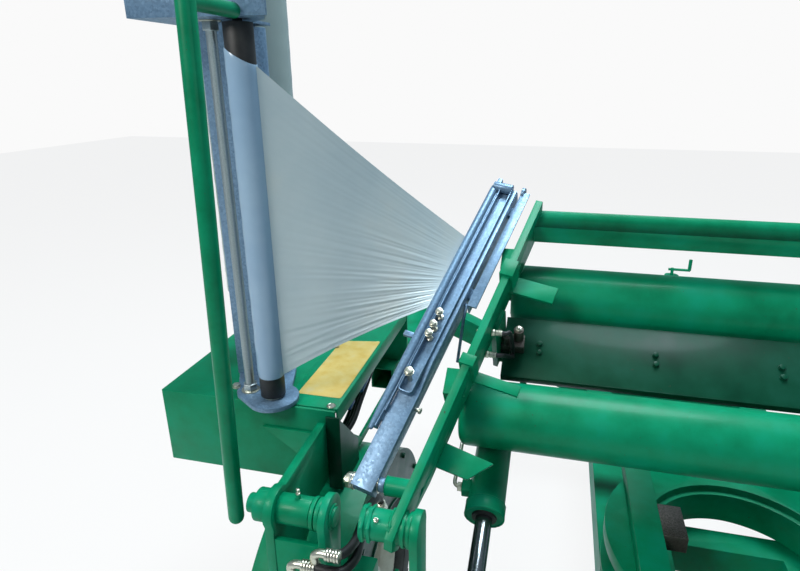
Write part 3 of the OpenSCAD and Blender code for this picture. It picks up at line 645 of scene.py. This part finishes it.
for side, sign in HANDS:
    hub = Vector((WHEEL.x * sign, WHEEL.y, WHEEL.z))
    make_tyre(side, hub)
    dress(f"rim_{side}", "cream_enamel", 0.002)
    make_wheel_nuts(side, sign, hub)


# the mudguards' inner walls, between each tyre and its axle plate

def guard_skirt(side, sign):
    """A flat ring sector with a flange up to the arched sheet, its edges rolled, and its bolts."""
    near, far = GUARD_IN - 0.001, GUARD_IN - 0.022
    inner, rim = 0.262, GUARD_R + 0.003
    section = [(rim, near), (rim, far), (inner, far), (inner, far - 0.0045), (inner - 0.0045, far - 0.0045),
               (inner - 0.0045, far + 0.003), (GUARD_R, far + 0.003), (GUARD_R, near)]
    bm = bmesh.new()
    start = math.asin(0.1 / GUARD_R)
    sweep = math.pi - 2 * start
    y, z = WHEEL.y, WHEEL.z
    ring = [bm.verts.new((sign * x, y + r * math.cos(start), z + r * math.sin(start))) for r, x in section]
    face = bm.faces.new(ring)
    bmesh.ops.spin(bm, geom=[face] + face.edges[:] + ring, cent=(0, y, z), axis=X, angle=sweep, steps=56)
    bmesh.ops.recalc_face_normals(bm, faces=bm.faces)
    # the wall and its bolts take the darker enamel: their colour is painted shade
    piece(f"mudguard_wall_{side}", bm, PAINTED_SHADE)
    count, circle = 5, 0.376
    bolts = []
    for k in range(count):
        a = start + sweep * (k + 0.5) / count
        at = (sign * (far - 0.0002), y + circle * math.cos(a), z + circle * math.sin(a))
        bolts.append(bolt(at, (-sign, 0, 0), M8, 0.005))
    piece(f"mudguard_bolts_{side}", merged(bolts), PAINTED_SHADE)


for side, sign in HANDS:
    guard_skirt(side, sign)


# film: the web, the sleeve on the roller and the roll

FILM_T = 0.0006
WEB_FACES = Vector((0.35, -0.88, 0.32))
PLEATS = (
    # radians up the web, bend by noise, the noise's scales up and along, its seed, share
    (92, 3.2, 9, 1.5, 0.3, 0.4),
    (203, 4.0, 17, 2.0, 4.1, 0.3),
)


def on_jaw(along):
    """A point just above the left jaw's bar, at a distance along the arm."""
    return TABLE @ (ARM @ Vector((JAW_X - JAW_R, along, JAW_Z)))


def film_web():
    """The stretched web: pleats gather it from the roller's height into the jaw."""
    across, along = 260, 90
    rows = []
    start_x = ROLLER.x + ROLLER_R + 0.002
    for j in range(across + 1):
        v = j / across
        start = Vector((start_x, ROLLER.y, WEB_LOW + v * WEB_SEEN))
        end = on_jaw(WEB_JAW[0]).lerp(on_jaw(WEB_JAW[1]), v)
        calm = max(0.12, 1.0 - 1.25 * v)
        row = []
        for i in range(along + 1):
            u = i / along
            # the free edges draw in a little, and pleats grow towards the jaw, most of all low down
            pull = 0.009 * math.sin(math.pi * u) * (1 - 2 * v) * abs(1 - 2 * v)
            point = start.lerp(end, u) + Vector((0, 0, pull))
            depth = calm * (0.0005 + 0.0034 * u * (1.0 - 0.5 * u))
            wave = 0.0
            for waves, bend, up, out, seed, share in PLEATS:
                wave += math.sin(v * waves + bend * noise.noise(Vector((v * up, u * out, seed)))) * share
            wave += noise.noise(Vector((v * 58, u * 2.0, 9.0))) * 0.8
            point += WEB_FACES * wave * depth * min(1.0, 6 * (1 - u) + 0.15)
            row.append(point)
        rows.append(row)
    bm = bmesh.new()
    skin(bm, rows, False)
    bmesh.ops.recalc_face_normals(bm, faces=bm.faces)
    area = sum(f.calc_area() for f in bm.faces)
    # a closed sheet with two faces, measured before it gets its thickness
    bmesh.ops.solidify(bm, geom=bm.faces[:], thickness=FILM_T)
    return piece("film_web_pleated", bm, "stretch_film", "chassis", ("film_web",), 75.0), area


def film_sleeve():
    """Film laid on the black roller, with drawn lines; its upper edge is lower on the web's side."""
    rim, face = ROLLER_R + 0.0004, ROLLER_R + 0.0018
    profile = [(rim, WEB_LOW - 0.004), (face, WEB_LOW)]
    profile += [(face + 0.0004 * math.sin(k * 1.7), WEB_LOW + WEB_TALL * k / 40) for k in range(1, 40)]
    profile += [(face, WEB_LOW + WEB_TALL), (rim, WEB_LOW + WEB_TALL + 0.004)]
    bm = revolve(profile, Vector((ROLLER.x, ROLLER.y, 0)), Z, 40)
    for vert in bm.verts:
        climb = max(0.0, (vert.co.z - WEB_LOW) / WEB_TALL - 0.9) * 10
        vert.co.z -= climb * (0.023 + 0.017 * (vert.co.x - ROLLER.x) / ROLLER_R)
    piece("film_sleeve", bm, "film_over_black", "stretch_roller")


def film_roll():
    """The roll of film on its card core, its ends uneven from winding, with cones and spindle."""
    centre = Vector((FILM_ROLL.x, FILM_ROLL.y, 0))
    low, high = ROLL_LOW, ROLL_LOW + ROLL_TALL
    wound = [(0.040, low + 0.004)]
    wound += [(0.045 + 0.005 * k, low + 0.0015 * (k % 2)) for k in range(13)]
    wound += [(0.1095, low + 0.004)]
    wound += [(0.1100 - 0.0003 * (k % 3), low + ROLL_TALL * k / 36) for k in range(1, 36)]
    wound += [(0.1095, high - 0.004)]
    wound += [(0.105 - 0.005 * k, high - 0.0015 * (k % 2)) for k in range(13)]
    wound += [(0.040, high - 0.004)]
    piece("film_roll_wound", revolve(wound, centre, Z, 72), "film_on_the_roll", "film_roll", ("film_roll",))
    core = [(0.038, low - 0.002), (0.0400, low - 0.002), (0.0400, high + 0.002), (0.038, high + 0.002)]
    piece("film_roll_core", revolve(core, centre, Z, 48), "kraft_card", "film_roll")
    cone = ((0.010, 0.026), (0.042, 0.016), (0.042, 0.008), (0.037, 0), (0.034, -0.03), (0.010, -0.03))
    parts = [revolve([(r, z + way * out) for r, out in cone], centre, Z, 48) for z, way in ((low, -1), (high, 1))]
    parts.append(column(centre, LID_TOP, ROLL_ARM_TOP, 0.00995, 24))
    bush = [(0.010, BASE_TOP + 0.006), (0.028, BASE_TOP + 0.006), (0.028, BASE_TOP + 0.030),
            (0.022, BASE_TOP + 0.040), (0.022, low - 0.050), (0.028, low - 0.040), (0.028, low - 0.020),
            (0.010, low - 0.020)]
    parts.append(revolve(bush, centre, Z, 40))
    piece("film_roll_spindle", merged(parts), PLATED, "film_roll")


web, web_area = film_web()
film_sleeve()
film_roll()


# dispenser box and clevis

def sign_on_lid():
    """A sheet glued to the lid, left blank, with the lid's slotted screw beside it."""
    top = LID_TOP + 0.0001
    outline = [(-1.1466, -2.7625), (-1.0315, -2.7625), (-1.0315, -2.424), (-1.1466, -2.446)]
    sheet = sheet_metal(outline, 0.0008, 0.0, top)
    corners = [e for e in sheet.edges if abs(e.verts[0].co.z - e.verts[1].co.z) > 0.0005]
    bmesh.ops.bevel(sheet, geom=corners, offset=0.006, segments=4, profile=0.5, affect="EDGES", material=-1)
    piece("sign_sheet", sheet, "blank_sign")
    dome = [(0.0, top), (0.011, top), (0.011, top + 0.0012), (0.0085, top + 0.0034), (0.0, top + 0.0040)]
    head = revolve(dome, Vector((-1.041, -2.801, 0)), Z, 32)
    slot = [f for f in head.faces if f.calc_center_median().z > top + 0.0033]
    bmesh.ops.inset_region(head, faces=slot, thickness=0.0009, depth=-0.0006)
    piece("lid_screw", head, PLATED)


def box_details():
    """The lid's bolts, the welds of the ear and its stiffener to the box, and the boss's weld."""
    places = [(BOX_X - 0.120, BOX_Y + along, LID_TOP) for along in (0.030, 0.330, 0.610)]
    bolts = [bolt(at, Z, M8, 0.006) for at in places]
    y, high, low = BOX_Y - 0.001, BOX_TOP - 0.035, BOX_TOP - 0.19
    seams = [
        weld([(x, y, high), (x, y, low)], 0.004, seed)
        for x, seed in ((LUG_X[0] - 0.001, 3), (LUG_X[0] + 0.021, 4))
    ]
    seams.append(ring_weld((LUG_X[1] + 0.0165, HINGE.y, HINGE.z), X, 0.0225, 0.003, 5))
    piece("box_bolts", merged(bolts), PLATED)
    piece("box_welds", merged(seams), GREEN)


def grease_nipple(at):
    """A nipple's hexagon, neck and ball, standing up."""
    z = at[2]
    return [
        hexagon(at, z, z + 0.004, 0.009),
        column(at, z + 0.004, z + 0.009, 0.0026, 14, 0.0004),
        column(at, z + 0.009, z + 0.013, 0.0036, 14, 0.0012),
    ]


sign_on_lid()
box_details()
piece("lug_nipple", merged(grease_nipple((LUG_X[0] + 0.060, HINGE.y, HINGE.z + 0.0405))), PLATED)


# hinge bosses on the table

def hinge_details(side, hand):
    """The bosses' welds, the double collar on the pin and its grease nipple."""
    move = TABLE @ hand
    seams = [
        ring_weld((-REAR_HALF, 0, 0), X, 0.0325, 0.004, 7),
        ring_weld((-0.845, ARM_FOOT.y, ARM_FOOT.z), X, 0.0195, 0.0015, 8),
    ]
    fitted(f"hinge_welds_{side}", seams, move, GREEN, "table")
    collars = [nut((x, 0, 0), (x + 0.0075, 0, 0), 0.066, 0.0018) for x in (-0.8700, -0.8560)]
    fitted(f"hinge_collars_{side}", collars, move, GREEN, "table")
    fitted(f"hinge_nipple_{side}", grease_nipple((-0.838, 0, 0.0305)), move, PLATED, "table")


for side, hand in SIDES.items():
    hinge_details(side, hand)


# clamp arms: the round jaw bar, the gutter with its bolts, the folded edge and the pin's nut

def upright(outline, thickness, radius=0.001):
    """A plate whose outline is (along, up), its thickness across."""
    bm = sheet_metal(outline, thickness, radius)
    bm.transform(Matrix(((0, 0, 1, 0), (1, 0, 0, 0), (0, 1, 0, 0), (0, 0, 0, 1))))
    return bm


def rounded_gutter(left, right, near, far, wall, tall, low):
    """A gutter open at its far end, its near end rolled round between its walls."""
    corner = 0.008

    def rim(inset):
        r = corner - inset
        points = [(right - inset, far)]
        for middle, start in ((right - corner, 0), (left + corner, 90)):
            for a in range(start, start + 91, 18):
                t = math.radians(a)
                points.append((middle + r * math.cos(t), near + corner - r * math.sin(t)))
        points.append((left + inset, far))
        return points

    return sheet_metal(rim(0.0) + list(reversed(rim(wall))), tall, 0.0007, low)


def clamp_gutter(side, move):
    """The jaw's bar with its lip, the gutter on the arm, the folded edge and the stop."""
    # the bar's radius along it, thin at its foot and rounded at its end
    bar = ((0.099, 0.0030), (0.101, 0.0052), (0.106, 0.0062), (0.120, 0.0068), (0.180, 0.0088), (0.260, 0.0108),
           (0.330, JAW_R), (0.600, JAW_R), (0.850, JAW_R), (0.864, 0.0105), (0.870, 0.0075), (0.872, 0.0030))
    fold = upright([(0.226, 0.0), (0.289, 0.0105), (JAW_END, 0.0105), (JAW_END, 0.0)], 0.0105, 0.0008)
    fold.transform(Matrix.Translation((0.0140, 0, ARM_TOP)))
    parts = [
        hose([Vector((JAW_X, y, JAW_Z)) for y, _ in bar], [r for _, r in bar], 24),
        block((JAW_X + 0.0105, 0.150, 0.0200), (JAW_X + 0.0135, JAW_END, 0.0330), 0.0008),
        rounded_gutter(-0.0212, 0.0135, 0.203, JAW_END, 0.0028, 0.0200, ARM_TOP),
        block((-0.0184, 0.206, ARM_TOP), (0.0107, JAW_END, ARM_TOP + 0.0020), 0.0),
        fold,
        block((-0.0740, 0.338, 0.0240), (-0.0480, 0.352, 0.0330), 0.0012),
    ]
    fitted(f"clamp_gutter_{side}", parts, move, ZINC, f"clamp_{side}")


def clamp_bolts(side, move):
    """The gutter's three bolts, the leaning one at its near end, and a setscrew in the arm's wall."""
    parts = []
    for y in (0.354, 0.381, 0.417):
        at = (-0.0110, y)
        parts += [
            column(at, ARM_TOP + 0.002, ARM_TOP + 0.030, 0.0042, 16, 0.0006),
            column(at, ARM_TOP + 0.028, ARM_TOP + 0.0302, 0.0098, 24, 0.0005),
            hexagon(at, ARM_TOP + 0.0302, ARM_TOP + 0.0372, 0.0150),
            hexagon(at, ARM_TOP + 0.002, ARM_TOP + 0.0085, 0.0150),
        ]
    x, y = -0.0095, 0.245
    parts += [
        disc((x, y - 0.004, ARM_TOP + 0.002), (x, y, ARM_TOP + 0.032), 0.0058, 18, 0.0008),
        disc((x, y, ARM_TOP + 0.030), (x, y + 0.0004, ARM_TOP + 0.0325), 0.0115, 28, 0.0006),
        nut((x, y + 0.0004, ARM_TOP + 0.0325), (x, y + 0.001, ARM_TOP + 0.0400), 0.0185, 0.0012),
        disc((0.0250, 0.187, 0.0), (0.0345, 0.187, 0.0), 0.0048, 16, 0.0006),
        nut((0.0345, 0.187, 0.0), (0.0400, 0.187, 0.0), M8),
    ]
    fitted(f"clamp_bolts_{side}", parts, move, PLATED, f"clamp_{side}")


def clamp_hook(side, move):
    """The bent rod that hangs from the arm's inner edge."""
    route = smooth_path([
        (0.0250, 0.484, 0.006), (0.0300, 0.478, 0.008), (0.0330, 0.466, 0.006), (0.0340, 0.452, -0.004),
        (0.0350, 0.436, -0.024), (0.0380, 0.405, -0.060), (0.0410, 0.375, -0.095),
    ])
    fitted(f"clamp_hook_{side}", [hose(route, 0.0040, 12)], move, ZINC, f"clamp_{side}")


def clamp_pin_nut(side, move):
    """The foot pin's end nut and thread, and the washers on both sides of the arm."""
    discs = (
        # from, to, radius, sides, edge
        (-0.0430, -0.0500, 0.0088, 24, 0.0015),
        (-0.0250, -0.0285, 0.0185, 36, 0.0008),
        (-0.0292, -0.0312, 0.0180, 36, 0.0006),
        (0.0268, 0.0278, 0.0185, 36, 0.0004),
    )
    parts = [nut((-0.0310, 0, 0), (-0.0440, 0, 0), 0.0300, 0.0015)]
    parts += [disc((start, 0, 0), (end, 0, 0), *sizes) for start, end, *sizes in discs]
    turn = move @ Matrix.Rotation(ARM_SKEW, 4, "Z")
    fitted(f"clamp_pin_nut_{side}", parts, turn, PLATED, f"clamp_{side}")


for side, hand in SIDES.items():
    arm = TABLE @ hand @ ARM
    clamp_gutter(side, arm)
    clamp_bolts(side, arm)
    clamp_hook(side, arm)
    clamp_pin_nut(side, arm)


# a pointed gusset on each side plate, and the valves' block between the drums

for side, hand in SIDES.items():
    near = PLATE_T - 0.001
    outline = [(near, 0.154), (near, 0.211), (PLATE_T + 0.112, 0.206), (PLATE_T + 0.072, 0.154)]
    gusset = sheet_metal(outline, 0.008, low=-0.057)
    fitted(f"pointed_gusset_{side}", [gusset], TABLE @ hand @ PLATE, GREEN, "table")


def valve_block():
    """Two valves on the table's middle bar, their hoses led through the left side plate."""
    dark, bright, rubber = [], [], []
    dark.append(block((-0.656, 0.494, -0.1445), (-0.598, 0.532, -0.112), 0.002))
    for at, top in (((-0.641, 0.506), -0.076), ((-0.613, 0.519), -0.068)):
        dark.append(column(at, -0.113, top, 0.0125, 28, 0.002))
        bright.append(hexagon(at, top, top + 0.006, 0.014))
        bright.append(column(at, top + 0.005, top + 0.010, 0.0040, 14, 0.0008))
    for y, z, port in ((0.475, -0.020, 0.506), (0.432, -0.052, 0.516)):
        face = -REAR_HALF + y * math.tan(TAPER)
        inner = face + PLATE_T + 0.001
        for start, end in ((face - 0.001, face - 0.008), (inner, inner + 0.008)):
            bright.append(nut((start, y, z), (end, y, z), 0.016))
        bright.append(disc((face - 0.016, y, z), (face - 0.007, y, z), 0.0050, 16, 0.0008))
        for k in range(3):
            start = inner + 0.010 + 0.0055 * k
            bright.append(disc((start, y, z), (start + 0.0048, y, z), 0.0072, 18, 0.0006))
        bright.append(disc((inner + 0.007, y, z), (inner + 0.028, y, z), 0.0055, 18, 0.0006))
        path = smooth_path([
            (inner + 0.020, y, z), (inner + 0.034, y, z), (inner + 0.044, y + 0.008, z - 0.012),
            (-0.624, (y + port) / 2 - 0.010, -0.110), (-0.627, port - 0.030, -0.128),
            (-0.627, port - 0.010, -0.130),
        ])
        rubber.append(hose(path, 0.0056, 12))
        bright.append(nut((-0.627, port - 0.030, -0.130), (-0.627, 0.494, -0.130), 0.014))
    fitted("valve_bodies", dark, TABLE, STEEL, "table")
    fitted("valve_fittings", bright, TABLE, PLATED, "table")
    fitted("valve_hoses", rubber, TABLE, RUBBER, "table")


def belly_sheet():
    """A sheet on the middle bar that closes the gap between the drums; it and its dark colour are painted shade.
    """
    low, near, far, half = -0.1442, 0.425, 0.600, 0.650
    sheet = sheet_metal([(-half, near), (half, near), (half, far), (-half, far)], 0.003, 0.0008, low)
    lips = [block((-half, y, low - 0.022), (half, y + 0.003, low + 0.003), 0.0006) for y in (near, far - 0.003)]
    # the sheet, its lips and its bolts take the darker enamel: painted shade
    fitted("belly_sheet", [sheet] + lips, TABLE, PAINTED_SHADE, "table")
    places = [(x, a, low + 0.003) for x in (-0.56, -0.28, 0.0, 0.28, 0.56) for a in (0.499, 0.525)]
    fitted("belly_bolts", [bolt(at, Z, M8, 0.006) for at in places], TABLE, PAINTED_SHADE, "table")


valve_block()
belly_sheet()


# tipping cylinders: port fittings, the pipe between the ports, and the gland

def cylinder_frame():
    """The cylinders' own frame at rest, y from the rod's eye to the cylinder's, and their length."""
    cos, sin = math.cos(TILT), math.sin(TILT)
    reach = Vector((EYE.x * cos - EYE.y * sin, EYE.x * sin + EYE.y * cos)) - FOOT
    start = Matrix.Translation(Vector((CYLINDER_X, HINGE.y + FOOT.x, HINGE.z + FOOT.y)))
    return start @ Matrix.Rotation(math.atan2(reach.y, reach.x), 4, "X"), reach.length


def cylinder_fittings(side, hand):
    """Fittings and pipe on the outer side, the welds of the tube, and the rod's wiper."""
    frame_at, full = cylinder_frame()
    move, body = hand @ frame_at, f"cylinder_{side}"
    low, high = GLAND + 0.062, full - 0.084
    pipe = smooth_path([
        (-0.072, low, 0), (-0.079, low + 0.003, 0), (-0.084, low + 0.012, 0), (-0.084, low + 0.040, 0),
        (-0.084, high - 0.040, 0), (-0.078, high - 0.024, 0.003), (-0.070, high - 0.020, 0.016),
    ])
    fittings = [nut((-0.064, y, 0), (-0.075, y, 0), 0.022) for y in (low, high)]
    fittings.append(hose(pipe, 0.0050))
    fittings.append(nut((-0.072, high - 0.022, 0.012), (-0.060, high - 0.020, 0.026), 0.016))
    seams = [ring_weld((0, y, 0), Y, 0.0462, 0.0022, 11) for y in (GLAND - 0.006, GLAND + 0.024)]
    seams.append(ring_weld((0, full - 0.0605, 0), Y, 0.0440, 0.0030, 12))
    wiper = revolve([(0.0203, GLAND - 0.011), (0.0290, GLAND - 0.011), (0.0300, GLAND - 0.0062),
                     (0.0203, GLAND - 0.0062)], Vector((0, 0, 0)), Y, 40)
    fitted(f"port_fittings_{side}", fittings, move, PLATED, body)
    fitted(f"cylinder_welds_{side}", seams, move, GREEN, body)
    fitted(f"rod_wiper_{side}", [wiper], move, RUBBER, body)


for side, hand in SIDES.items():
    cylinder_fittings(side, hand)


# bolts and welds over the frame, turntable and dispenser

def dispenser_fittings():
    """Nuts, washers and rings at the ends of the rollers, the tie rod and the roll's spindle."""
    parts = []
    for at in (ROLLER, ALLOY):
        parts += [
            column(at, HEAD_TOP, HEAD_TOP + 0.0025, 0.019, 28, 0.0006),
            hexagon(at, HEAD_TOP + 0.0025, HEAD_TOP + 0.0145, M16, 0.0015),
            column(at, HEAD_TOP + 0.010, HEAD_TOP + 0.022, 0.0078, 20, 0.0015),
            column(at, BASE_TOP, BASE_TOP + 0.005, 0.024, 32),
        ]
    rod_top = BASE_TOP + REEL_H
    parts += [
        column(TIE_ROD, BASE_TOP, BASE_TOP + 0.003, 0.0225, 32, 0.0008),
        column(TIE_ROD, rod_top - 0.003, rod_top, 0.0225, 32, 0.0008),
        hexagon(TIE_ROD, HEAD_TOP, HEAD_TOP + 0.010, M16, 0.0015),
        column(FILM_ROLL, ROLL_ARM_TOP, ROLL_ARM_TOP + 0.003, 0.020, 28, 0.0006),
        hexagon(FILM_ROLL, ROLL_ARM_TOP + 0.003, ROLL_ARM_TOP + 0.011, M16, 0.0015),
    ]
    for x, y in ((-1.300, -2.790), (-1.225, -2.740), (-1.385, -2.590), (-1.290, -2.590)):
        parts.append(bolt((x, y, BASE_TOP), Z, M10, 0.007))
    piece("dispenser_nuts", merged(parts), PLATED)


def bolt_circle(count, radius, z):
    """Places on the turntable's axis, half a step round from its right side."""
    angles = [math.tau * (k + 0.5) / count for k in range(count)]
    return [TURN + Vector((radius * math.cos(a), radius * math.sin(a), z)) for a in angles]


def turntable_fittings():
    """The ring's bolts where no rail covers them, the pedestal's bolts, and the rails' end welds."""
    ring = []
    for at in bolt_circle(12, 0.300, RING_TOP):
        if abs(abs(at.x) - 0.25) > 0.055 and not 0.22 < at.y - TURN.y - 0.08 < 0.25:
            ring.append(bolt(at, Z))
    base = [bolt(at, Z) for at in bolt_circle(8, 0.320, RAIL_TOP + 0.014)]
    piece("ring_bolts", merged(ring), PLATED, "turntable")
    piece("pedestal_bolts", merged(base), PLATED)
    seams = []
    for x in (-0.25, 0.25):
        for edge in (-0.035, 0.035):
            seams.append(weld([(x + edge, -3.0297, 0.1603), (x + edge, -3.0297, 0.146)], seed=21))
        seams.append(weld([(x - 0.035, -3.0295, 0.1455), (x + 0.035, -3.0295, 0.1455)], 0.0040, 22))
    piece("turn_frame_welds", merged(seams), GREEN, "turntable")


def strap_welds(side, hand):
    """Welds of the folded straps on a side plate, above them inside and along them outside."""
    seams = []
    for along, wide, level in ((0.365, 0.026, -0.038), (0.628, 0.048, -0.030)):
        start = along / math.cos(TAPER) - wide / 2
        x, z = PLATE_T + 0.0005, level + 0.0085
        seams.append(weld([(x, start, z), (x, start + wide, z)], 0.0030, 31))
        x, y = -0.0005, start - 0.0003
        seams.append(weld([(x, y, 0.030), (x, y, -0.056)], 0.0026, 32))
    fitted(f"strap_welds_{side}", seams, TABLE @ hand @ PLATE, GREEN, "table")


def drum_ends(name, along):
    """The shaft's weld and three plugs on each end of a drum."""
    half = REAR_HALF - along * math.tan(TAPER) + 0.006
    circle = 0.044
    parts = []
    for sign in (-1, 1):
        x = sign * (half + 0.0002)
        parts.append(ring_weld((x, along, DRUM_Z), X, 0.0215, 0.0030, 41))
        for k in range(3):
            a = math.tau * k / 3 + math.pi / 2
            y, z = along + circle * math.cos(a), DRUM_Z + circle * math.sin(a)
            parts.append(disc((x, y, z), (x + sign * 0.0015, y, z), 0.0132, 28, 0.0004))
    fitted(f"drum_{name}_ends", parts, TABLE, GREEN, f"drum_{name}")


def frame_welds():
    """Welds of the drawbar, the frame's ends and the axle's plates."""
    seams = []
    for sign in (-1, 1):
        seams.append(weld([(sign * 0.0605, -1.4495, -0.012), (sign * 0.26, -1.4495, -0.012)], 0.0040, 51))
        for z in (-0.070, 0.030):
            for y, seed in ((-1.5505, 52), (-2.9495, 53)):
                seams.append(weld([(sign * 0.250, y, z), (sign * 0.350, y, z)], 0.0040, seed))
        seams.append(ring_weld((sign * 0.915, WHEEL.y, WHEEL.z), X, 0.0262, seed=54))
    piece("frame_welds", merged(seams), GREEN)


dispenser_fittings()
turntable_fittings()
for side, hand in SIDES.items():
    strap_welds(side, hand)
for name, along in DRUMS.items():
    drum_ends(name, along)
frame_welds()


# hoses inside the box, seen through its open side

def box_hoses():
    """Three hoses from the box's front wall down to its rear wall, with a nut at each end."""
    front, rear = BOX_Y + BOX_LEN - 0.0085, BOX_Y + 0.0085
    runs = [
        [(-1.160, front, 0.478), (-1.140, -2.210, 0.480), (-1.060, -2.360, 0.494), (-1.046, -2.470, 0.482),
         (-1.046, -2.580, 0.436), (-1.050, -2.650, 0.400), (-1.075, -2.735, 0.376), (-1.085, rear, 0.368)],
        [(-1.200, front, 0.468), (-1.180, -2.220, 0.468), (-1.080, -2.390, 0.474), (-1.062, -2.490, 0.455),
         (-1.060, -2.590, 0.412), (-1.066, -2.660, 0.384), (-1.095, -2.735, 0.374), (-1.115, rear, 0.372)],
        [(-1.240, front, 0.440), (-1.220, -2.240, 0.440), (-1.100, -2.420, 0.445), (-1.078, -2.520, 0.425),
         (-1.074, -2.610, 0.392), (-1.084, -2.680, 0.372), (-1.120, -2.745, 0.366), (-1.145, rear, 0.366)],
    ]
    rubber = [hose(smooth_path(run, 8), 0.0085) for run in runs]
    piece("box_hose_run", merged(rubber), RUBBER)
    ends = []
    for run in runs:
        for end, way in ((run[0], -1), (run[-1], 1)):
            at, out = Vector(end), Vector((0, way, 0))
            ends.append(nut(at, at + out * 0.016, 0.022))
            ends.append(disc(at + out * 0.015, at + out * 0.034, 0.0108, 20, 0.0008))
    piece("box_hose_nuts", merged(ends), PLATED)
    caps = [disc((-1.0400, -2.596, 0.478), (-1.0400, -2.528, 0.493), 0.0095, 24, 0.003),
            disc((-1.0460, -2.680, 0.470), (-1.0440, -2.650, 0.478), 0.0090, 24, 0.002)]
    piece("coupler_caps", merged(caps), "blue_enamel")


box_hoses()


# hoses at the clevis: where each elbow stands, and its hose's route from there

ROUTES = (
    ((-1.000, -3.140, 0.404),
     [(-0.922, -3.140, 0.402), (-0.896, -3.130, 0.398), (-0.886, -3.085, 0.388), (-0.896, -3.020, 0.372),
      (-0.903, -2.960, 0.352), (-0.905, -2.900, 0.318), (-0.905, -2.870, 0.270)]),
    ((-0.950, -3.136, 0.438),
     [(-0.916, -3.134, 0.436), (-0.900, -3.116, 0.426), (-0.893, -3.070, 0.412), (-0.900, -3.000, 0.398),
      (-0.908, -2.930, 0.380), (-0.909, -2.860, 0.350), (-0.909, -2.830, 0.300)]),
)


def clevis_hoses():
    """Each hose from its elbow, over its crimped sleeve, to a nut behind the shield."""
    rubber, metal = [], []
    for (x, y, z), route in ROUTES:
        bend = [(x + 0.030, y, z), (x + 0.012, y, z), (x, y, z - 0.008), (x, y, z - 0.026), (x, y, z - 0.044)]
        metal.append(hose(smooth_path(bend, 5), 0.0085, 16))
        metal.append(nut((x, y, z - 0.030), (x, y, z - 0.046), M16))
        for k in range(5):
            a = x + 0.024 + 0.006 * k
            metal.append(disc((a, y, z), (a + 0.0052, y, z), 0.0125 if k % 2 else 0.0118, 20, 0.0008))
        rubber.append(hose(smooth_path([(x + 0.050, y, z)] + route), 0.0098, 16))
        end = Vector(route[-1])
        back = (Vector(route[-2]) - end).normalized()
        metal.append(disc(end, end + back * 0.030, 0.0122, 20, 0.0008))
        metal.append(nut(end + back * 0.001, end - back * 0.016, 0.022))
        metal.append(disc(end - back * 0.014, end - back * 0.022, 0.0060, 16, 0.0))
    piece("hose_rubber", merged(rubber), RUBBER, "chassis", ("hose_pair",))
    piece("hose_fittings", merged(metal), PLATED)


clevis_hoses()


# the stage and the camera

set_stage()
aim_camera()
